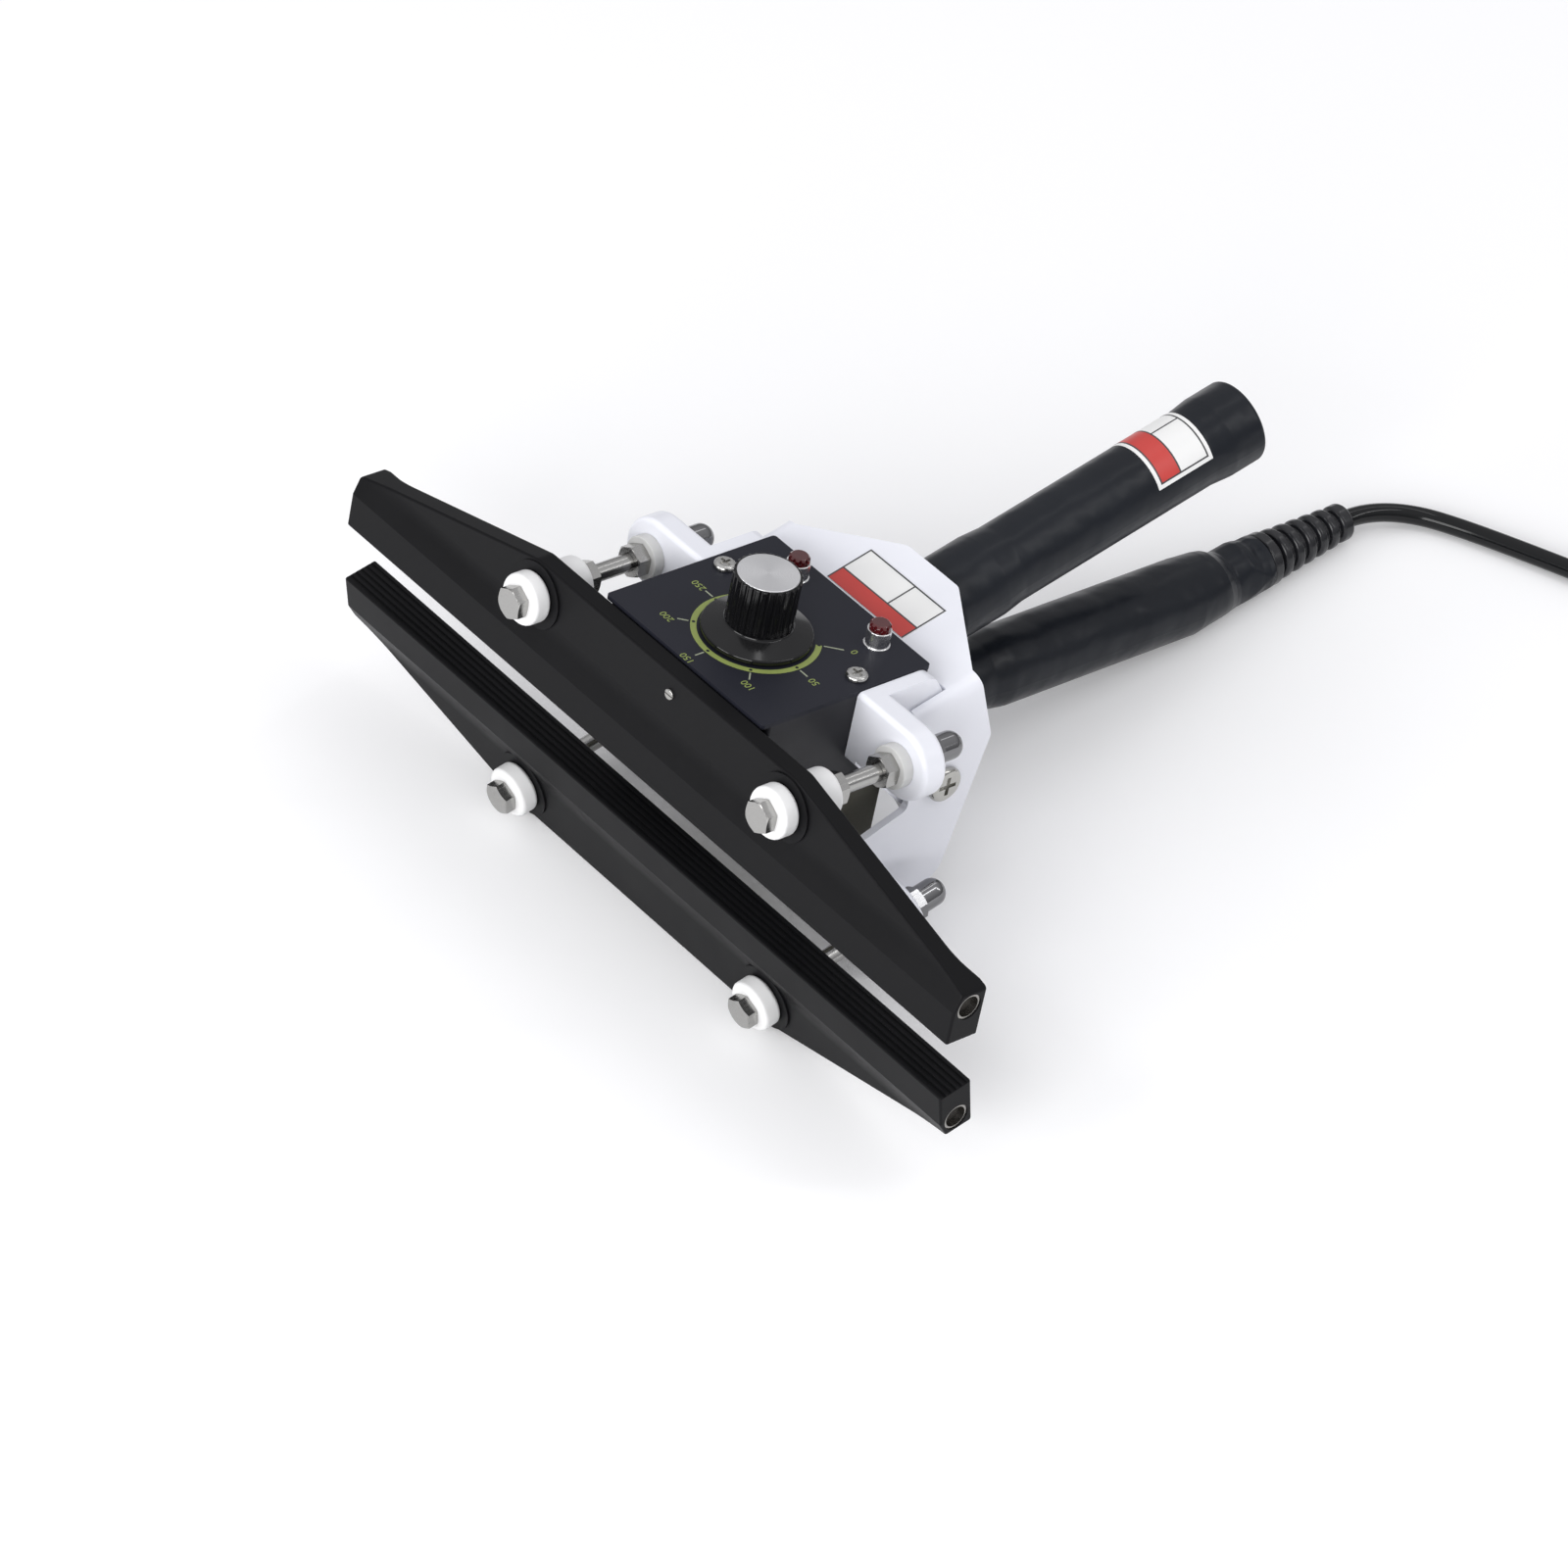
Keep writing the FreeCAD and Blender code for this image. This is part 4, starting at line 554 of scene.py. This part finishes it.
spring_shape = bmesh.new()
wire_start = Matrix.Translation((0, spring_y - spring_radius, spring_base))
wire_across = wire_start @ Matrix.Rotation(math.pi / 2, 4, "Y")
bmesh.ops.create_circle(spring_shape, cap_ends=True, segments=wire_sides, radius=wire_radius,
                        matrix=wire_across)
rise_per_step = (spring_top - spring_base) / (spring_turns * spring_steps)
bmesh.ops.spin(spring_shape, geom=[*spring_shape.faces, *spring_shape.edges, *spring_shape.verts],
               cent=(0, spring_y, 0), axis=(0, 0, 1), dvec=(0, 0, rise_per_step),
               angle=2 * math.pi * spring_turns, steps=spring_turns * spring_steps)
bmesh.ops.recalc_face_normals(spring_shape, faces=spring_shape.faces)
for face in spring_shape.faces:
    face.smooth = True
spring_shape.transform(control_lever)
spring = new_piece("spring_coils", spring_shape, spring_steel, "control_lever")
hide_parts("return_spring")
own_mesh(spring)

# Handles: two steel tubes in black shrunk sleeves; the upper one is closed by a plug.
# The lower sleeve is drawn in over the tube's end to meet the cord's strain relief.

tube_steel, _ = drawn("tube_steel", (0.55, 0.55, 0.56), 0.35, (1, 0.05, 1))
dress(tube_steel, "lower_handle_tube", "upper_handle_tube")
lump_scale = 75
lump_detail = 1.5
lump_strength = 0.6
lump_depth = 2.0 * mm
fold_scale = 85
fold_smoothness = 0.15
fold_strength = 1.0
fold_depth = 5.0 * mm
neck_front = 122.0 * mm
neck_back = 136.0 * mm


def bump_below(material, upper, height, strength, depth):
    """Adds a bump under the bump node named upper, and returns the new one's name."""
    tree = material.node_tree
    lower = tree.nodes.new("ShaderNodeBump")
    lower.inputs["Strength"].default_value = strength
    lower.inputs["Distance"].default_value = depth
    tree.links.new(height, lower.inputs["Height"])
    tree.links.new(lower.outputs["Normal"], tree.nodes[upper].inputs["Normal"])
    return lower.name


sleeve_black, _ = grained("sleeve_black", (0.0095, 0.0115, 0.016), 0.33, tint=0.2, grain=1200, cloud=35,
                          bump=0.10, depth=0.1 * mm, shine=0.23)
sleeve_tree = sleeve_black.node_tree
sleeve_place = sleeve_tree.nodes.new("ShaderNodeTexCoord")
sleeve_lumps = sleeve_tree.nodes.new("ShaderNodeTexNoise")
sleeve_lumps.inputs["Scale"].default_value = lump_scale
sleeve_lumps.inputs["Detail"].default_value = lump_detail
sleeve_tree.links.new(sleeve_place.outputs["Object"], sleeve_lumps.inputs["Vector"])
sleeve_swell = bump_below(sleeve_black, "Bump", sleeve_lumps.outputs["Fac"], lump_strength, lump_depth)
dress(sleeve_black, "upper_grip")

neck_sleeve = sleeve_black.copy()
neck_sleeve.name = "neck_sleeve"
neck_tree = neck_sleeve.node_tree
neck_place = neck_tree.nodes.new("ShaderNodeTexCoord")
neck_split = neck_tree.nodes.new("ShaderNodeSeparateXYZ")
neck_tree.links.new(neck_place.outputs["Object"], neck_split.inputs[0])
neck_mask = neck_tree.nodes.new("ShaderNodeMapRange")
neck_mask.inputs["From Min"].default_value = neck_front
neck_mask.inputs["From Max"].default_value = neck_back
neck_tree.links.new(neck_split.outputs["Y"], neck_mask.inputs["Value"])
neck_folds = neck_tree.nodes.new("ShaderNodeTexVoronoi")
neck_folds.feature = "SMOOTH_F1"
neck_folds.inputs["Scale"].default_value = fold_scale
neck_folds.inputs["Smoothness"].default_value = fold_smoothness
neck_tree.links.new(neck_place.outputs["Object"], neck_folds.inputs["Vector"])
neck_height = neck_tree.nodes.new("ShaderNodeMath")
neck_height.operation = "MULTIPLY"
neck_tree.links.new(neck_mask.outputs["Result"], neck_height.inputs[0])
neck_tree.links.new(neck_folds.outputs["Distance"], neck_height.inputs[1])
bump_below(neck_sleeve, sleeve_swell, neck_height.outputs[0], fold_strength, fold_depth)
dress(neck_sleeve, "lower_grip")

plug_cap, _ = grained("end_plug_black", (0.020, 0.021, 0.023), 0.5, grain=2000)
dress(plug_cap, "upper_end_plug")

# Labels: a blank white sticker on the outer yoke's top plate and one round the upper grip.
# Each has a plain red band along its front edge and a thin dark frame line.

sticker_white, _ = grained("sticker_white", (0.86, 0.86, 0.85), 0.38, tint=0.015, grain=900, cloud=120,
                           bump=0.05)
dress(sticker_white, "label_plate")
sticker_red, _ = grained("sticker_red", (0.56, 0.050, 0.042), 0.38, tint=0.06, grain=900, cloud=120,
                         bump=0.05)
sticker_ink, _ = grained("sticker_ink", (0.055, 0.055, 0.058), 0.42, tint=0.15, grain=2500, cloud=300,
                         bump=0.05)
line_width = 0.55 * mm
ink_depth = 0.03 * mm
ink_lift = 2 * ink_depth
cross_lift = ink_lift + 0.1 * ink_depth

plate_label_half = 18.5 * mm
plate_label_front = 9.5 * mm
plate_label_back = 27.8 * mm
plate_label_top = 35.75 * mm
plate_band_back = 15.6 * mm
plate_divider_x = 3.4 * mm


def flat_patch(shape, x0, x1, y0, y1, lift):
    middle = ((x0 + x1) / 2, (y0 + y1) / 2, plate_label_top + lift)
    brick(shape, middle, (x1 - x0, y1 - y0, ink_depth))


plate_band = bmesh.new()
flat_patch(plate_band, -plate_label_half, plate_label_half, plate_label_front, plate_band_back,
           ink_depth)
plate_band.transform(grip_lever)
new_piece("plate_label_band", plate_band, sticker_red, "grip_lever")
plate_lines = bmesh.new()
for y in (plate_band_back, plate_label_back - line_width):
    flat_patch(plate_lines, -plate_label_half, plate_label_half, y, y + line_width, ink_lift)
for x in (-plate_label_half, plate_label_half - line_width):
    flat_patch(plate_lines, x, x + line_width, plate_label_front, plate_label_back, cross_lift)
flat_patch(plate_lines, plate_divider_x, plate_divider_x + line_width, plate_band_back, plate_label_back,
           cross_lift)
plate_lines.transform(grip_lever)
new_piece("plate_label_lines", plate_lines, sticker_ink, "grip_lever")

handle_rise = 18.0 * mm
sleeve_radius = 13.7 * mm
grip_label_front = 123.2 * mm
grip_label_back = 146.4 * mm
grip_label_left = math.radians(-91)
grip_label_right = math.radians(66)
grip_label_margin = 1.4 * mm
grip_band_back = 132.8 * mm
grip_divider = math.radians(-14)
sticker_depth = 0.12 * mm
sticker_sink = 0.1 * mm
wrap_step = math.radians(2.5)


def wrapped_patch(shape, y0, y1, left, right, low, high):
    """Adds a closed strip round the upper grip, between two angles and two heights on the sleeve."""
    corners = [(y0, low), (y1, low), (y1, high), (y0, high)]
    turn = Matrix.Rotation(left, 3, "Y")
    axis_point = Vector((0, 0, handle_rise))
    section = []
    for y, height in corners:
        section.append(shape.verts.new(axis_point + turn @ Vector((0, y, sleeve_radius + height))))
    face = shape.faces.new(section)
    steps = max(1, round((right - left) / wrap_step))
    bmesh.ops.spin(shape, geom=[face, *face.edges, *face.verts], cent=axis_point, axis=(0, 1, 0),
                   angle=right - left, steps=steps)


def wrapped_piece(name, patches, low, high, material):
    shape = bmesh.new()
    for y0, y1, left, right in patches:
        wrapped_patch(shape, y0, y1, left, right, low, high)
    bmesh.ops.recalc_face_normals(shape, faces=shape.faces)
    shape.transform(grip_lever)
    return new_piece(name, shape, material, "grip_lever")


margin_angle = grip_label_margin / sleeve_radius
line_angle = line_width / sleeve_radius
frame_front = grip_label_front + grip_label_margin
frame_back = grip_label_back - grip_label_margin
frame_left = grip_label_left + margin_angle
frame_right = grip_label_right - margin_angle
label_patch = (grip_label_front, grip_label_back, grip_label_left, grip_label_right)
grip_label = wrapped_piece("grip_label", [label_patch], -sticker_sink, sticker_depth, sticker_white)
band_patch = (frame_front, grip_band_back, frame_left, frame_right)
wrapped_piece("grip_label_band", [band_patch], sticker_depth / 2, sticker_depth + ink_depth, sticker_red)
ring_lines = [(y, y + line_width, frame_left, frame_right)
              for y in (frame_front, grip_band_back, frame_back - line_width)]
end_lines = [(frame_front, frame_back, angle, angle + line_angle)
             for angle in (frame_left, frame_right - line_angle)]
end_lines.append((grip_band_back, frame_back, grip_divider, grip_divider + line_angle))
wrapped_piece("grip_label_lines", ring_lines + end_lines, sticker_depth / 2, sticker_depth + ink_lift,
              sticker_ink)

# Supply cord: a round black mains lead from the strain relief, along the floor to a tied coil.
# The ribbed strain relief is moulded rubber and the two-pin plug is moulded on the far end.

cord_diameter = 6.5 * mm
cord_start = [
    (0.0, 177.21, 7.5),
    (0.2, 183.0, 7.1),
    (4.0, 193.6, 5.6),
    (11.2, 202.6, 4.1),
    (21.6, 209.0, 3.4),
    (38.5, 216.2, 3.4),
    (60.0, 224.4, 3.5),
    (80.0, 231.4, 4.0),
    (100.0, 237.21, 4.6),
    (121.5, 237.21, 4.6),
]
cord_end = [
    (134.5, 237.21, 11.55),
    (148.5, 237.21, 11.55),
    (166.5, 235.21, 9.55),
    (184.5, 235.21, 7.3),
    (196.5, 235.21, 7.3),
]
coil_x = 128.0
coil_y = 237.21
coil_low = 4.6
coil_rise = 6.95
coil_inner = 26.5
coil_step = 3.5
turns_in = 6
turns_out = 5
points_per_half = 6

coil_radii = [coil_inner + coil_step * abs(turns_in - i) for i in range(turns_in + 1 + turns_out)]
coil_points = []
half_y = coil_y
for half, radius in enumerate(coil_radii):
    side = 1 if half % 2 == 0 else -1
    for j in range(points_per_half):
        share = (j + 0.5) / points_per_half
        angle = math.pi * (half + share - 0.5)
        if half < turns_in:
            height = coil_low
        elif half > turns_in:
            height = coil_low + coil_rise
        else:
            height = coil_low + coil_rise * (1 - math.cos(math.pi * share)) / 2
        reach = radius / math.cos(math.pi / points_per_half / 2)
        y = half_y + side * radius + reach * math.sin(angle)
        coil_points.append((coil_x + reach * math.cos(angle), y, height))
    half_y += side * 2 * radius

cord_points = cord_start + coil_points + cord_end
cord_curve = bpy.data.curves.new("supply_cord", "CURVE")
cord_curve.dimensions = "3D"
cord_curve.bevel_depth = cord_diameter / 2
cord_curve.bevel_resolution = 5
cord_curve.resolution_u = 6
cord_spline = cord_curve.splines.new("NURBS")
cord_spline.points.add(len(cord_points) - 1)
for point, (x, y, z) in zip(cord_spline.points, cord_points):
    point.co = (x * mm, y * mm, z * mm, 1.0)
cord_spline.order_u = 3
cord_spline.use_endpoint_u = True
cord = bpy.data.objects.new("supply_cord", cord_curve)
scene.collection.objects.link(cord)
cord_black, _ = grained("cord_black", (0.0035, 0.0040, 0.0046), 0.12, gloss=0.03, grain=1500, cloud=90,
                        bump=0.02, shine=0.32)
cord_curve.materials.append(cord_black)
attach(cord, "control_lever")
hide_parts("cord_lead", "cord_coil", "cord_tail")

relief_rubber, _ = grained("relief_rubber", (0.013, 0.0135, 0.016), 0.22, tint=0.12, gloss=0.06,
                           grain=2200, cloud=120, bump=0.12, shine=0.45)
dress(relief_rubber, "strain_relief")
tie_nylon, _ = grained("tie_nylon", (0.028, 0.028, 0.029), 0.45, grain=2500)
dress(tie_nylon, "coil_tie")
plug_black, _ = grained("plug_black", (0.020, 0.020, 0.022), 0.42, grain=2500, cloud=100, bump=0.12)
dress(plug_black, "plug_body")
pin_nickel, _ = drawn("pin_nickel", (0.75, 0.74, 0.72), 0.22, (0.05, 1, 1))
dress(pin_nickel, "plug_pins")
